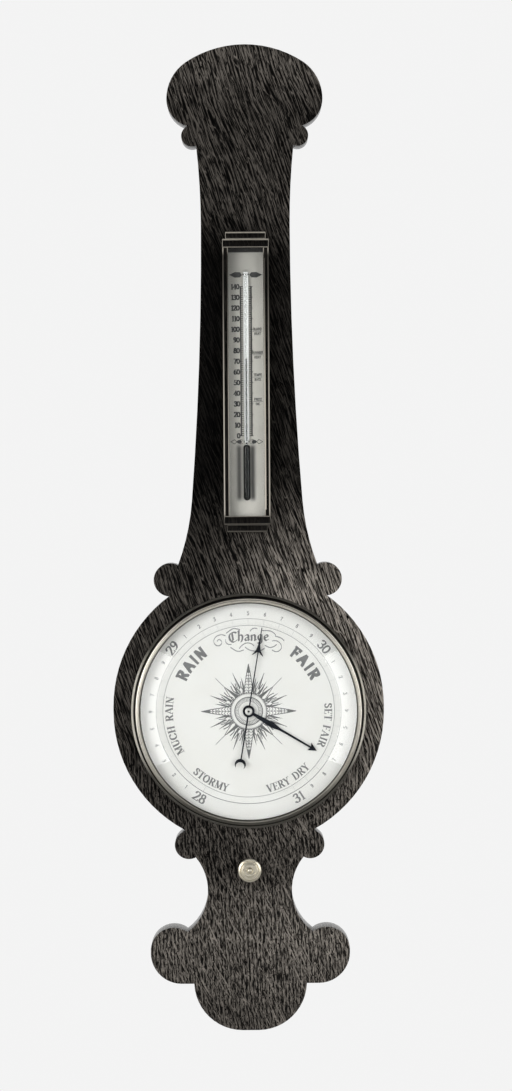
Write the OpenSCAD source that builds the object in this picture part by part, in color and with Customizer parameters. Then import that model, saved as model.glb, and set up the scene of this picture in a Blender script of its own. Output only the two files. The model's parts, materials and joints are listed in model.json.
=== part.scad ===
// Banjo barometer: an oak wall case with an aneroid movement behind an eight inch dial,
// a thermometer box on the trunk, and a set hand that a knob turns through a rod and two crown wheels.
// Millimetres. The wall is the plane Y = 0, the front faces -Y, and the hanging hole is the origin.
// Inside face_frame() x is right, y is up from the dial axis and z is out from the wall.

/* [Case body] */
// Thickness of the oak board
case_t = 32; // [31:0.5:40]
// Radius of the round body
body_r = 116.6; // [113:0.2:122]
// How far the upper half of the body is raised
body_rise = 4.3; // [1:0.1:8]
// Radius of an upper ear
upper_ear_r = 14.3; // [13:0.1:16]
// Distance of an upper ear's centre outside the body
upper_ear_out = 11.3; // [9:0.1:12]
// Angle of an upper ear above the horizontal
upper_ear_angle = 58.5; // [56:0.5:61]
// Radius of a lower ear
lower_ear_r = 12.2; // [11.5:0.1:14]
// Distance of a lower ear's centre outside the body
lower_ear_out = 10; // [8:0.1:11]
// Angle of a lower ear below the horizontal
lower_ear_angle = 65.6; // [64:0.2:67]

/* [Trunk and head] */
// Half width of the trunk at its narrowest
neck_hw = 38.3; // [36:0.1:42]
// Height of the narrowest place above the dial axis
neck_h = 419; // [405:1:435]
// Radius of the trunk's sides above the narrowest place
neck_r = 650; // [550:10:800]
// Radius of the trunk's long taper
taper_r = 3000; // [2600:50:3600]
// Height where the taper turns into the flare
flare_h = 181; // [172:1:190]
// Radius of the flare
flare_r = 200; // [180:5:230]
// Half width of the head
head_hw = 67.35; // [63:0.1:72]
// Height of the head's widest line above the dial axis
head_h = 527.9; // [520:0.5:540]
// Rise of the crown above that line
crown_rise = 47; // [43:0.5:52]
// Radius of the crown
crown_r = 92; // [86:1:110]
// Radius of the head's lower corners
cheek_r = 24; // [22:0.5:27]
// Radius of the small ears under the head
head_ear_r = 9.2; // [8.8:0.1:10.5]
// Distance of a small ear's centre from the middle line
head_ear_x = 45.6; // [43:0.1:48]
// Overlap of a small ear with the foot of the head
head_ear_lap = 1.5; // [1:0.1:3]

/* [Tail] */
// Half width of the waist
waist_hw = 36.2; // [33:0.1:40]
// Radius of the waist's hollows
waist_r = 45; // [42:0.5:48]
// Distance of the hollows' centres below the body
waist_drop = 38.1; // [36:0.1:41]
// Radius of the upper round of a side lobe
lobe_top_r = 19.9; // [19:0.1:21]
// Distance of that round from the middle line
lobe_top_x = 66; // [64:0.1:68]
// Drop of that round below the waist
lobe_top_drop = 51.8; // [50:0.1:53]
// Radius of the lower round of a side lobe
lobe_low_r = 26.7; // [25:0.1:28]
// Drop of the lower round's centre below the upper one's
lobe_low_drop = 1.8; // [1:0.1:3]
// Radius of the bottom lobe
tip_r = 41.8; // [39:0.1:45]
// Half the distance between the bottom lobe's two centres
tip_x = 6.8; // [3:0.1:10]
// Drop of the bottom lobe's centres below the lower rounds
tip_drop = 25.2; // [22:0.1:28]

/* [Back of the case] */
// Height of the hanging hole above the widest line of the head
hang_rise = 10.1; // [4:0.1:14]
// Radius of the hanging hole
hang_hole_r = 4.5; // [3.5:0.1:5.5]
// Width of the hanging plate
hang_plate_w = 44; // [38:1:60]
// Height of the hanging plate
hang_plate_h = 26; // [22:1:34]
// Thickness of the hanging plate
hang_plate_t = 2; // [2:0.1:3]
// Depth of the pocket behind the hanging hole
hang_pocket_d = 12; // [8:0.5:18]
// Thickness of the round back cover
cover_t = 2.5; // [2.2:0.1:3.2]
// Radius of the round back cover
cover_r = 99.7; // [98:0.1:101]
// Thickness of the cover strip over the rod
strip_t = 3.5; // [3:0.1:5]
// Width of the cover strip over the rod
strip_w = 40; // [38:1:46]
// Thickness of the ledge that carries the movement
ledge_t = 5; // [4.5:0.1:5.5]
// Radius of the opening inside the ledge
ledge_r = 88; // [86:0.2:89]

/* [Dial, bezel and glass] */
// Radius of the dial plate
dial_r = 94.8; // [93.6:0.1:95.4]
// Thickness of the dial plate
dial_t = 1.5; // [1:0.1:2]
// Height of the dial's back above the movement plate
dial_h = 24.5; // [24:0.1:26]
// Outer radius of the bezel
bezel_r = 101.4; // [100.5:0.1:105]
// Radius of the bezel's front lip
lip_r = 93; // [90:0.1:93.4]
// Depth of the bezel's spigot in the board
spigot_d = 4.5; // [3:0.5:7]
// Wall of the bezel's spigot
spigot_wall = 1; // [0.8:0.1:1.4]
// Space between the dial's front and the glass
glass_h = 5.7; // [5.5:0.1:7]
// Thickness of the glass in the middle
glass_t = 2.8; // [2.4:0.1:3.5]
// Thickness of the glass at its edge
glass_edge_t = 1.9; // [1.5:0.1:2.2]
// Radius where the glass's bevel starts
glass_bevel_r = 79; // [70:0.5:86]

/* [Hands] */
// Reading angle of the indicator hand, clockwise from the top
hand_rest = 9.4; // [-140:0.1:140]
// Length of the indicator hand
hand_len = 73; // [66:0.5:76]
// Length of the indicator hand's tail
hand_tail = 46.2; // [38:0.1:50]
// Angle of the set hand, clockwise from the top
set_rest = 120.5; // [0:0.5:359]
// Length of the set hand
set_len = 67.6; // [60:0.2:74]
// Thickness of the hands
hand_t = 0.5; // [0.4:0.1:0.7]
// Radius of the hands' bosses
hand_boss_r = 5.1; // [4.8:0.1:6]

/* [Movement] */
// Thickness of the movement plate
plate_t = 2; // [1.6:0.1:2.4]
// Radius of the pressure capsule
capsule_r = 25; // [22:0.5:26.5]
// Height of the capsule's centre above the dial axis
capsule_y = 36; // [34.5:0.5:38]
// Height of the capsule above the movement plate
capsule_h = 10; // [9:0.5:11]
// Height of the spring bridge above the dial axis
bridge_y = 62; // [61:0.5:66]
// Height of the mainspring above the movement plate
spring_h = 13.5; // [13:0.1:13.9]
// Thickness of the mainspring
spring_t = 1.4; // [1:0.1:1.6]
// Sideways place of the main lever's tip and the link
tip_side = 26; // [24:0.5:28]
// Drop of the main lever's tip below the dial axis
tip_low = 14; // [12:0.5:14.5]
// Length of the crank that the link moves
crank_len = 5; // [4.5:0.1:5.5]
// Height of the rocking shaft above the movement plate
rocker_h = 4.3; // [4.2:0.1:4.6]
// Length of the arm that pulls the chain
chain_arm = 6.5; // [6.3:0.1:6.6]
// Radius of the drum that the chain winds on
drum_r = 1; // [0.9:0.05:1.2]
// Turns of the hairspring
hairspring_turns = 4; // [3:1:5]

/* [Set hand drive] */
// Distance of the knob below the dial axis
knob_drop = 136.5; // [132:0.5:142]
// Height of the rod above the movement plate
rod_h = 14; // [13.8:0.1:14.4]
// Radius of the rod
rod_r = 1.5; // [1.2:0.1:1.6]
// Mesh radius of a crown wheel
crown_r_mesh = 12; // [11.5:0.1:12.6]
// Radius of the knob
knob_r = 10.2; // [9:0.1:12]
// Height of the knob's stem below its cove
knob_stem_h = 3.2; // [2.6:0.1:5]
// Radius of the knob's shaft
knob_shaft_r = 2.5; // [2:0.1:2.8]

/* [Thermometer] */
// Height of the box's foot above the dial axis
box_low = 154.2; // [150:0.2:160]
// Height of the box
box_h = 258.4; // [250:0.2:266]
// Half width of the box
box_hw = 19.95; // [19:0.05:22]
// Depth of the box's sides
box_d = 14; // [13:0.1:16]
// Width of a side rail
rail_w = 4.85; // [4:0.05:5.5]
// Height of a cap's wide member
cap_wide_h = 7.5; // [6:0.1:9]
// Height of a cap's narrow member
cap_narrow_h = 6.3; // [5:0.1:8]
// Step in from the wide to the narrow member
cap_step = 2.6; // [2:0.1:3.5]
// How far the wide member stands in front of the rails
cap_proud = 2; // [1:0.1:3]
// Radius of the thermometer's stem
tube_r = 2.3; // [2:0.1:2.6]
// Radius of the thermometer's bulb
bulb_r = 3; // [2.7:0.1:3.1]
// Height of the tube's top above the dial axis
tube_top = 380.2; // [374:0.2:386]
// Height where the bulb joins the stem
bulb_top = 229.8; // [222:0.2:234]
// Height of the bulb's foot above the dial axis
bulb_low = 181.4; // [178:0.2:190]
// Height of the mercury's top above the dial axis
mercury_top = 303.5; // [245:0.5:366]

/* [Fits] */
// Clearance between pieces that are fixed together
fit = 0.05; // [0.03:0.01:0.1]
// Radial clearance of a running shaft
run = 0.05; // [0.03:0.01:0.08]
// Clearance between faces that pass each other
pass = 0.3; // [0.25:0.05:0.4]

/* [Hidden] */
$fn = 96;
over = 1;
lap = 0.01;

// Levels above the wall
ledge_z = cover_t + ledge_t;
plate_z = ledge_z + plate_t;
dial_back_z = plate_z + dial_h;
dial_z = dial_back_z + dial_t;
glass_z = dial_z + glass_h;
rod_z = plate_z + rod_h;
spring_z = plate_z + spring_h;
lever_z = spring_z + spring_t;
rocker_z = plate_z + rocker_h;
chain_z = rocker_z + chain_arm;

// Case outline
hang_h = head_h + hang_rise;
waist_y = -body_r - waist_drop;
waist_x = waist_hw + waist_r;
lobe_top_y = waist_y - lobe_top_drop;
lobe_low_y = lobe_top_y - lobe_low_drop;
lobe_low_x = lobe_top_x + lobe_top_r - lobe_low_r;
tip_y = lobe_low_y - tip_drop;
upper_ear_x = (body_r + upper_ear_out) * cos(upper_ear_angle);
upper_ear_y = body_rise + (body_r + upper_ear_out) * sin(upper_ear_angle);
lower_ear_x = (body_r + lower_ear_out) * cos(lower_ear_angle);
lower_ear_y = -(body_r + lower_ear_out) * sin(lower_ear_angle);
head_ear_y = head_h - cheek_r + head_ear_lap - head_ear_r;
crown_y = crown_rise - crown_r;
touching_r = (crown_r * crown_r - head_hw * head_hw - crown_y * crown_y) / (2 * (crown_r - head_hw));
shoulder_r = 1.001 * touching_r;
shoulder_x = head_hw - shoulder_r;
taper_angle = asin((neck_h - flare_h) / taper_r);
flare_x = neck_hw + taper_r * (1 - cos(taper_angle));

// Openings in the case
dial_gap = 0.5;
bezel_bore_r = dial_r + dial_gap;
spigot_r = bezel_bore_r + spigot_wall;
bezel_seat_w = 1.3;
board_bore_r = bezel_bore_r - bezel_seat_w;
plate_gap = 0.4;
plate_r = board_bore_r - plate_gap;
channel_hw = 6;
channel_wall = 4;
channel_z = case_t - channel_wall;
channel_over = 3;
pocket_room = 3;
pocket_r = crown_r_mesh + pocket_room;

// Screws
screw_r = 1.5;
screw_head_r = 3.2;
screw_head_h = 1.6;
screw_len = 9;
slot_w = 0.7;
slot_d = 0.5;
cover_screw_r = (cover_r + ledge_r) / 2;
cover_screw_len = 3.5;
plate_screw_r = (ledge_r + plate_r) / 2;
plate_screw_len = 4;
plate_head_r = 2.7;
fastener_angles = [45, 135, 225, 315];
plate_screw_angles = [20, 110, 200, 290];
small_screw_r = 1.05;
small_head_r = 2;
small_head_h = 1;
strip_top = -cover_r - pass;
strip_over = 8;
strip_low = -knob_drop - pocket_r - strip_over;
strip_screw_down = 6;
strip_screw_up = 4;
strip_screws = [strip_top - strip_screw_down, strip_low + strip_screw_up];
strip_screw_in = 3.8;
strip_screw_x = strip_w / 2 - strip_screw_in;
hang_screw_in = 7;
hang_screw_x = hang_plate_w / 2 - hang_screw_in;
hang_pocket_room = 4;
hang_pocket_r = hang_hole_r + hang_pocket_room;

// Bezel section, heights above the board
flange_t = 1.2;
flange_round_r = 0.4;
flange_w = 1.6;
cove_r = 1.8;
wall_r = bezel_r - flange_w - cove_r;
bead_r = 1.9;
bead_step = 1.2;
lip_round_r = 0.8;
lip_w = 1.4;
lip_step = 0.5;
lip_drop = 1.5;
glass_gap = 0.2;
lip_low = glass_z + glass_edge_t + glass_gap;
bezel_over = 1.5;
bezel_top = glass_z + glass_t + bezel_over;
glass_r = bezel_bore_r - glass_gap;
ring_back = 0.3;
ring_r = lip_r + ring_back;

// Arbor and hands
arbor_r = 0.9;
pivot_r = 0.6;
collet_r = 2.2;
flange_r = 2.6;
collet_neck_r = 1.8;
button_r = 3.2;
button_h = 1.3;
bush_r = 2.6;
pipe_r = 3.8;
pipe_bore_r = bush_r + run;
pipe_gap = 0.5;
pipe_foot_gap = 0.1;
pipe_over = 0.2;
cock_h = 12.5;
cock_z = plate_z + cock_h;
cock_t = 2;
cock_hw = 7;
cock_foot_x = -30;
cock_foot_r = 4;
cock_end_r = 5;
set_hand_h = 1.1;
set_hand_z = dial_z + set_hand_h;
hand_h = 2.9;
hand_z = dial_z + hand_h;
collet_foot_h = 0.5;
hand_collet_z = hand_z - collet_foot_h;
arbor_top = hand_z + hand_t + button_h;
bush_over = 0.4;
bush_top = dial_z + bush_over;
hairspring_rise = 2;
hairspring_z = plate_z + hairspring_rise;
hairspring_h = 1.2;
hairspring_t = 0.25;
hairspring_pitch = 1.3;
hairspring_r0 = collet_r + fit;
hairspring_r1 = hairspring_r0 + hairspring_pitch * hairspring_turns;
stud_r = 1.2;
stud_over = 1;
crescent_r = 4.8;
crescent_cut_r = 3.7;
crescent_drop = 1.75;
crescent_lap = 1;
shaft_hw = 0.6;
shaft_tip_hw = 0.4;
tail_hw = 0.7;
arrow_back = 24.4;
arrow_len = 17.4;
arrow_hw = 5;
spade_hw = 2.3;
set_head_len = 7.4;
set_head_hw = 3.75;
set_head_notch = 1.6;

// Spring bridge, lever and link
bridge_t = 3;
bridge_hw = 26;
bridge_d = 10;
bridge_post_x = 20;
bridge_post_r = 3.5;
bridge_foot_r = 5.5;
bridge_foot_t = 1.5;
spring_hw = 14;
clamp_hw = 18;
clamp_screw_x = 13;
clamp_d = 7;
clamp_t = 2.2;
lever_t = 1.2;
lever_x = 10;
lever_root = 8;
lever_tip_r = 2.2;
lever_tip_hw = 1.5;
lever_rise = 15;
lever_shoulder = 4;
lever_screws_up = [8, 13];
link_r = 0.6;
eye_r = 2.1;
eye_bore_r = 1.3;
eye_t = 1.2;
eye_lap = 0.3;
crank_pin_r = 0.6;
link_head_r = 1.2;
link_head_h = 0.6;
post_r = 2;
post_over = 2.6;
post_gap = 0.5;
spring_reach = 6;
knife_hw = 6;
knife_h = 1.8;
capsule_stud_r = 2.5;
capsule_nut_r = 4.4;
capsule_nut_t = 1.8;
adjuster_r = 2;
adjuster_head_r = 4;
adjuster_head_h = 2;
adjuster_hole_r = 5;
adjuster_y = capsule_y + capsule_r + adjuster_r + pass;

// Rocking shaft
rocker_x = tip_side + crank_len;
shaft_r = 1.2;
cheek_t = 1.6;
bracket_foot_t = 1;
rocker_foot_w = 7;
rocker_collar_r = 2.1;
rocker_boss_r = 2.2;
rocker_collar_end = 1;
arm_t = 1.2;
arm_hw = 0.9;
crank_hw = 1;
crank_gap = 2;
crank_pin_over = 1;
cheek_over = 6;
cheek_low = -tip_low - cheek_over;
cheek_high = 7;
chain_off = 0.25;
chain_y = -drum_r - chain_off;
chain_pitch = 1.5;
chain_plate_r = 0.5;
chain_plate_t = 0.2;
chain_short = 1;
chain_links = floor((rocker_x - chain_short) / chain_pitch);

// Pillars
pillar_r = 4;
pillar_flange_r = 5.5;
pillar_flange_t = 2;
pillar_in = 8;
pillar_ring_r = ledge_r - pillar_in;

// Crown wheels and pinions
crown_teeth = 24;
pinion_leaves = 6;
pinion_r = crown_r_mesh * pinion_leaves / crown_teeth;
leaf_h = 0.8;
leaf_sink = 0.4;
leaf_root_hw = 0.6;
leaf_tip_hw = 0.32;
pinion_tip_r = pinion_r + leaf_h;
pinion_root_r = pinion_r - leaf_h;
pinion_w = 2.4;
crown_tooth_t = 1;
tooth_tip_gap = 0.4;
tooth_root_gap = 0.7;
tooth_in = 0.1;
crown_tip_gap = pinion_root_r + tooth_tip_gap;
crown_face_gap = pinion_tip_r + tooth_root_gap;
crown_t = 2;
crown_hole_r = 1.9;
crown_hole_out = 0.6;
crown_rim = 0.2;
crown_out_r = crown_r_mesh + pinion_w / 2 + crown_rim;
crown_in_r = crown_r_mesh - pinion_w / 2;
rod_top = -crown_r_mesh + pinion_w / 2;
rod_low = -knob_drop + crown_r_mesh - pinion_w / 2;
bracket_t = 2.4;
bracket_hw = 5;
bracket_eye_r = 4;
upper_bracket_y = -21;
lower_bracket_up = 14;
lower_bracket_y = rod_low + lower_bracket_up;
collar_r = 2.8;
collar_t = 1.6;
upper_foot_t = 1.5;
upper_foot_len = 10;
upper_screw_down = 6;
upper_screw_y = upper_bracket_y - upper_screw_down;
lower_foot_t = 1.2;
lower_foot_len = 12;
lower_screw_x = 3;
lower_screw_up = 8;
lower_screw_y = lower_bracket_y + lower_screw_up;
lower_screw_r = 0.8;
lower_screw_head_r = 1.4;
lower_screw_head_h = 0.8;
lower_screw_bite = 2.2;

// Knob, shaft and bush
bush_out_r = 5;
bush_flange_r = 7.5;
bush_flange_t = 0.8;
pocket_over = 1.1;
pocket_z = rod_z - crown_tip_gap + pocket_over;
knob_z = case_t + bush_flange_t + pass;
knob_bore_d = 8;
knob_stem_r = 4.2;
knob_foot_r = 5.5;
knob_foot_h = 1;
knob_foot_slope = 0.4;
knob_shaft_over = 1;
knob_rim_r = 0.9;
knob_cove_in = 5;
knob_cove_r = knob_r - knob_cove_in;
knob_rim_z = knob_stem_h + knob_cove_r + knob_rim_r;
knob_face_h = 3.1;
knob_h = knob_rim_z + knob_face_h;
knob_boss_r = 3.2;
wheel_hub_r = 4.4;
knob_wheel_z = rod_z - crown_face_gap - crown_t;

// Thermometer box
box_z = case_t;
rail_low = box_low + cap_wide_h + cap_narrow_h;
rail_high = box_low + box_h - cap_wide_h - cap_narrow_h;
rail_in = box_hw - rail_w;
rail_outer_chamfer = 1;
rail_inner_chamfer = 0.6;
backboard_t = 2.5;
scale_t = 1;
scale_z = box_z + backboard_t + scale_t;
tube_gap = 0.4;
tube_z = scale_z + bulb_r + tube_gap;
pane_t = 2;
pane_gap = 0.7;
pane_z = tube_z + bulb_r + pane_gap;
groove_d = 1.6;
rail_z = box_z + box_d;
box_screw_in = 37;
box_screw_y = [rail_low + box_screw_in, rail_high - box_screw_in];
box_screw_head_z = 16;
box_screw_short = 0.6;
box_screw_end_z = box_z + backboard_t - box_screw_short;
tie_below_top = 4.4;
tie_above_bulb = 2.2;
tie_y = [tube_top - tie_below_top, bulb_top + tie_above_bulb];
tie_t = 0.4;
tie_w = 1.2;
bulb_wall = 0.8;
bulb_crown_t = 2;
tube_neck_in = 0.6;
tube_neck_r = tube_r - tube_neck_in;
tube_neck_h = 4.2;
tube_lap = 0.2;
bore_r = 0.55;

// Points of an arc, from angle a0 to a1
function arc(x, y, r, a0, a1, steps = 8) =
  [for (i = [0:steps]) let (a = a0 + (a1 - a0) * i / steps) [x + r * cos(a), y + r * sin(a)]];

// Places and simple solids
module face_frame() { translate([0, 0, -hang_h]) rotate([90, 0, 0]) children(); }

module both_sides() {
  children();
  mirror([1, 0, 0]) children();
}

module disc(r, z0, z1) { translate([0, 0, z0]) cylinder(r = r, h = z1 - z0); }

module ring(r_out, r_in, z0, z1) {
  difference() {
    disc(r_out, z0, z1);
    disc(r_in, z0 - over, z1 + over);
  }
}

module block(x0, x1, y0, y1, z0, z1) {
  translate([x0, y0, z0]) cube([x1 - x0, y1 - y0, z1 - z0]);
}

module bar_up(r, y0, y1) { translate([0, y0, 0]) rotate([-90, 0, 0]) cylinder(r = r, h = y1 - y0); }

// A flat shape in x and z, drawn along y
module along_y(y0, y1) { translate([0, y1, 0]) rotate([90, 0, 0]) linear_extrude(y1 - y0) children(); }

// A flat shape in y and z, drawn along x
module along_x(x0, x1) { translate([x0, 0, 0]) rotate([90, 0, 90]) linear_extrude(x1 - x0) children(); }

module round_places(r, angles) { for (a = angles) translate([r * cos(a), r * sin(a), 0]) children(); }

module turn_clockwise(angle) { rotate([0, 0, -angle]) children(); }

// A bar with round ends between two points, as a flat shape
module link_shape(x0, y0, x1, y1, r) {
  translate([x0, y0]) circle(r);
  translate([x1, y1]) circle(r);
  translate([x0, y0]) rotate(atan2(y1 - y0, x1 - x0)) translate([0, -r])
    square([norm([x1 - x0, y1 - y0]), 2 * r]);
}

// Slotted screw, head towards the wall at z = 0
module flat_head_screw(head_r, r, len) {
  difference() {
    union() {
      cylinder(r1 = head_r, r2 = r, h = screw_head_h);
      disc(r, screw_head_h, screw_head_h + len);
    }
    block(-head_r - over, head_r + over, -slot_w / 2, slot_w / 2, -over, slot_d);
  }
}

module flat_head_hole(head_r, r, len) {
  translate([0, 0, -over]) cylinder(r = head_r + fit, h = over + lap);
  cylinder(r1 = head_r + fit, r2 = r + fit, h = screw_head_h);
  disc(r + fit, screw_head_h - lap, screw_head_h + len);
}

module cheese_head_screw(head_r, head_h, r, len) {
  difference() {
    union() {
      disc(head_r, 0, head_h);
      disc(r, head_h, head_h + len);
    }
    block(-head_r - over, head_r + over, -slot_w / 2, slot_w / 2, -over, slot_d);
  }
}

// Case outline, by its parts from the top
module head_outline() {
  translate([0, head_h]) {
    intersection() {
      translate([0, crown_y]) circle(crown_r, $fn = 240);
      translate([-head_hw - over, 0]) square([2 * (head_hw + over), crown_rise + over]);
      union() {
        both_sides() translate([shoulder_x, 0]) circle(shoulder_r);
        polygon([[0, crown_y], [3 * shoulder_x, -2 * crown_y], [-3 * shoulder_x, -2 * crown_y]]);
      }
    }
    both_sides() intersection() {
      translate([head_hw - cheek_r, 0]) circle(cheek_r);
      translate([0, -cheek_r]) square([head_hw + over, cheek_r]);
    }
    translate([cheek_r - head_hw, -cheek_r]) square([2 * (head_hw - cheek_r), cheek_r]);
  }
}

module trunk_side_cut() {
  intersection() {
    translate([neck_hw + neck_r, neck_h]) circle(neck_r, $fn = 720);
    translate([0, neck_h]) square([2 * neck_hw, head_h]);
  }
  intersection() {
    translate([neck_hw + taper_r, neck_h]) circle(taper_r, $fn = 1440);
    translate([0, flare_h]) square([2 * upper_ear_x, neck_h - flare_h]);
  }
  intersection() {
    translate([flare_x + flare_r * cos(taper_angle), flare_h + flare_r * sin(taper_angle)])
      circle(flare_r, $fn = 360);
    square([2 * upper_ear_x, flare_h]);
  }
}

module trunk_outline() {
  difference() {
    translate([-upper_ear_x, 0]) square([2 * upper_ear_x, head_h]);
    both_sides() trunk_side_cut();
  }
}

module body_outline() {
  circle(body_r, $fn = 240);
  translate([0, body_rise]) circle(body_r, $fn = 240);
  translate([-body_r, 0]) square([2 * body_r, body_rise]);
}

module tail_outline() {
  blank_hw = (lower_ear_x + lobe_low_x) / 2;
  difference() {
    translate([-blank_hw, lobe_low_y]) square([2 * blank_hw, -lobe_low_y]);
    both_sides() translate([waist_x, waist_y]) circle(waist_r, $fn = 144);
  }
  both_sides() {
    translate([lobe_top_x, lobe_top_y]) circle(lobe_top_r);
    intersection() {
      translate([lobe_low_x, lobe_low_y]) circle(lobe_low_r);
      translate([0, lobe_low_y - lobe_low_r]) square([lobe_low_x + lobe_low_r, lobe_low_r]);
    }
    translate([tip_x, tip_y]) circle(tip_r, $fn = 144);
  }
  translate([-lobe_low_x, lobe_low_y - lobe_low_r]) square([2 * lobe_low_x, lobe_low_r]);
  translate([-tip_x, tip_y - tip_r]) square([2 * tip_x, tip_r]);
}

module case_outline() {
  head_outline();
  trunk_outline();
  body_outline();
  tail_outline();
  both_sides() {
    translate([head_ear_x, head_ear_y]) circle(head_ear_r);
    translate([upper_ear_x, upper_ear_y]) circle(upper_ear_r);
    translate([lower_ear_x, lower_ear_y]) circle(lower_ear_r);
  }
}

module case_board() {
  color("#3a3029") face_frame() difference() {
    linear_extrude(case_t) case_outline();
    disc(cover_r + pass, -over, cover_t);
    disc(ledge_r, -over, case_t + over);
    disc(board_bore_r, ledge_z, case_t + over);
    disc(spigot_r + fit, case_t - spigot_d - pass, case_t + over);
    round_places(cover_screw_r, fastener_angles)
      flat_head_hole(screw_head_r, screw_r, cover_screw_len + fit);
    round_places(plate_screw_r, plate_screw_angles)
      disc(screw_r + fit, ledge_z - plate_screw_len, ledge_z + over);
    block(-strip_w / 2 - pass, strip_w / 2 + pass, strip_low - pass, 0, -over, strip_t);
    rod_cover_screw_places() disc(screw_r + fit, 0, screw_head_h + screw_len + fit);
    block(-channel_hw, channel_hw, rod_low - channel_over, 0, -over, channel_z);
    lower_bracket_screw_places()
      disc(lower_screw_r + fit, channel_z - over, channel_z + lower_screw_bite + fit);
    translate([0, -knob_drop, 0]) {
      disc(pocket_r, -over, pocket_z);
      disc(bush_out_r + fit, 0, case_t + over);
    }
    for (y = box_screw_y) translate([0, y, 0]) {
      disc(screw_head_r + pass, -over, box_screw_head_z + screw_head_h);
      disc(screw_r + fit, 0, case_t + over);
    }
    translate([0, hang_h, 0]) {
      block(-hang_plate_w / 2 - pass, hang_plate_w / 2 + pass,
            -hang_plate_h / 2 - pass, hang_plate_h / 2 + pass, -over, hang_plate_t);
      disc(hang_pocket_r, -over, hang_pocket_d);
      both_sides() translate([hang_screw_x, 0, 0]) disc(screw_r + fit, 0, screw_head_h + screw_len + fit);
    }
  }
}

module rod_cover_screw_places() {
  for (y = strip_screws) both_sides() translate([strip_screw_x, y, 0]) children();
}

module back_cover() {
  color("#2c2c2b") face_frame() difference() {
    disc(cover_r, 0, cover_t);
    round_places(cover_screw_r, fastener_angles) flat_head_hole(screw_head_r, screw_r, cover_t);
    translate([0, adjuster_y, 0]) disc(adjuster_hole_r, -over, cover_t + over);
  }
}

module back_cover_screws() {
  color("#b59a5b") face_frame()
    round_places(cover_screw_r, fastener_angles) flat_head_screw(screw_head_r, screw_r, cover_screw_len);
}

module rod_cover() {
  color("#3a3029") face_frame() difference() {
    block(-strip_w / 2, strip_w / 2, strip_low, 0, 0, strip_t - fit);
    disc(cover_r + 2 * pass, -over, strip_t + over);
    rod_cover_screw_places() flat_head_hole(screw_head_r, screw_r, strip_t);
  }
}

module rod_cover_screws() {
  color("#b59a5b") face_frame() rod_cover_screw_places() flat_head_screw(screw_head_r, screw_r, screw_len);
}

module hanging_plate() {
  color("#b59a5b") face_frame() translate([0, hang_h, 0]) difference() {
    block(-hang_plate_w / 2, hang_plate_w / 2, -hang_plate_h / 2, hang_plate_h / 2, 0, hang_plate_t);
    disc(hang_hole_r, -over, hang_plate_t + over);
    both_sides() translate([hang_screw_x, 0, 0]) flat_head_hole(screw_head_r, screw_r, hang_plate_t);
  }
}

module hanging_plate_screws() {
  color("#b59a5b") face_frame() translate([0, hang_h, 0])
    both_sides() translate([hang_screw_x, 0, 0]) flat_head_screw(screw_head_r, screw_r, screw_len);
}

// Bezel, glass and dial
module bezel() {
  section = concat(
    [[bezel_bore_r, case_t - spigot_d], [spigot_r, case_t - spigot_d], [spigot_r, case_t], [bezel_r, case_t]],
    arc(bezel_r - flange_round_r, case_t + flange_t - flange_round_r, flange_round_r, 0, 90, 4),
    arc(bezel_r - flange_w, case_t + flange_t + cove_r, cove_r, 270, 180),
    arc(wall_r - bead_r, bezel_top - bead_step - bead_r, bead_r, 0, 90),
    arc(wall_r - bead_r - lip_round_r, bezel_top - lip_round_r, lip_round_r, 0, 90, 6),
    [[lip_r + lip_w, bezel_top], [lip_r + lip_w, bezel_top - lip_step], [lip_r, bezel_top - lip_drop],
     [lip_r, lip_low], [bezel_bore_r, lip_low]]);
  color("#c9b47c") face_frame() rotate_extrude($fn = 240) polygon(section);
}

module bezel_glass() {
  color("#dfe6e6", 0.3) face_frame() translate([0, 0, glass_z]) rotate_extrude($fn = 240)
    polygon([[0, 0], [glass_r, 0], [glass_r, glass_edge_t], [glass_bevel_r, glass_t], [0, glass_t]]);
}

module glass_ring() {
  color("#c9b47c") face_frame() ring(bezel_bore_r - 2 * fit, ring_r, dial_z + fit, glass_z - fit);
}

module dial_plate() {
  color("#f0eee8") face_frame() ring(dial_r, pipe_r + pipe_gap, dial_back_z, dial_z);
}

module dial_pillars() {
  color("#b59a5b") face_frame() round_places(pillar_ring_r, fastener_angles) difference() {
    union() {
      disc(pillar_r, plate_z, dial_back_z);
      disc(pillar_flange_r, plate_z, plate_z + pillar_flange_t);
      disc(pillar_flange_r, dial_back_z - pillar_flange_t, dial_back_z);
    }
    disc(screw_r + fit, plate_z - over, plate_z + screw_len);
  }
}

module pillar_screws() {
  color("#8f8f8c") face_frame() round_places(pillar_ring_r, fastener_angles)
    translate([0, 0, ledge_z - screw_head_h])
      cheese_head_screw(screw_head_r, screw_head_h, screw_r, screw_len);
}

// Aneroid movement
module movement_plate() {
  color("#b59a5b") face_frame() difference() {
    disc(plate_r, ledge_z, plate_z);
    disc(pivot_r + run, ledge_z - over, plate_z + over);
    round_places(pillar_ring_r, fastener_angles) disc(screw_r + fit, ledge_z - over, plate_z + over);
    round_places(plate_screw_r, plate_screw_angles) disc(screw_r + fit, ledge_z - over, plate_z + over);
    translate([0, capsule_y, 0]) disc(capsule_stud_r + fit, ledge_z - over, plate_z + over);
    translate([0, adjuster_y, 0]) disc(adjuster_r + run, ledge_z - over, plate_z + over);
    translate([cock_foot_x, 0, 0]) disc(screw_r + fit, ledge_z - over, plate_z + over);
    translate([0, upper_screw_y, 0]) disc(screw_r + fit, ledge_z - over, plate_z + over);
  }
}

module movement_plate_screws() {
  color("#8f8f8c") face_frame() round_places(plate_screw_r, plate_screw_angles)
    translate([0, 0, plate_z + screw_head_h]) mirror([0, 0, 1])
      cheese_head_screw(plate_head_r, screw_head_h, screw_r, plate_t + plate_screw_len - pass);
}

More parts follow.
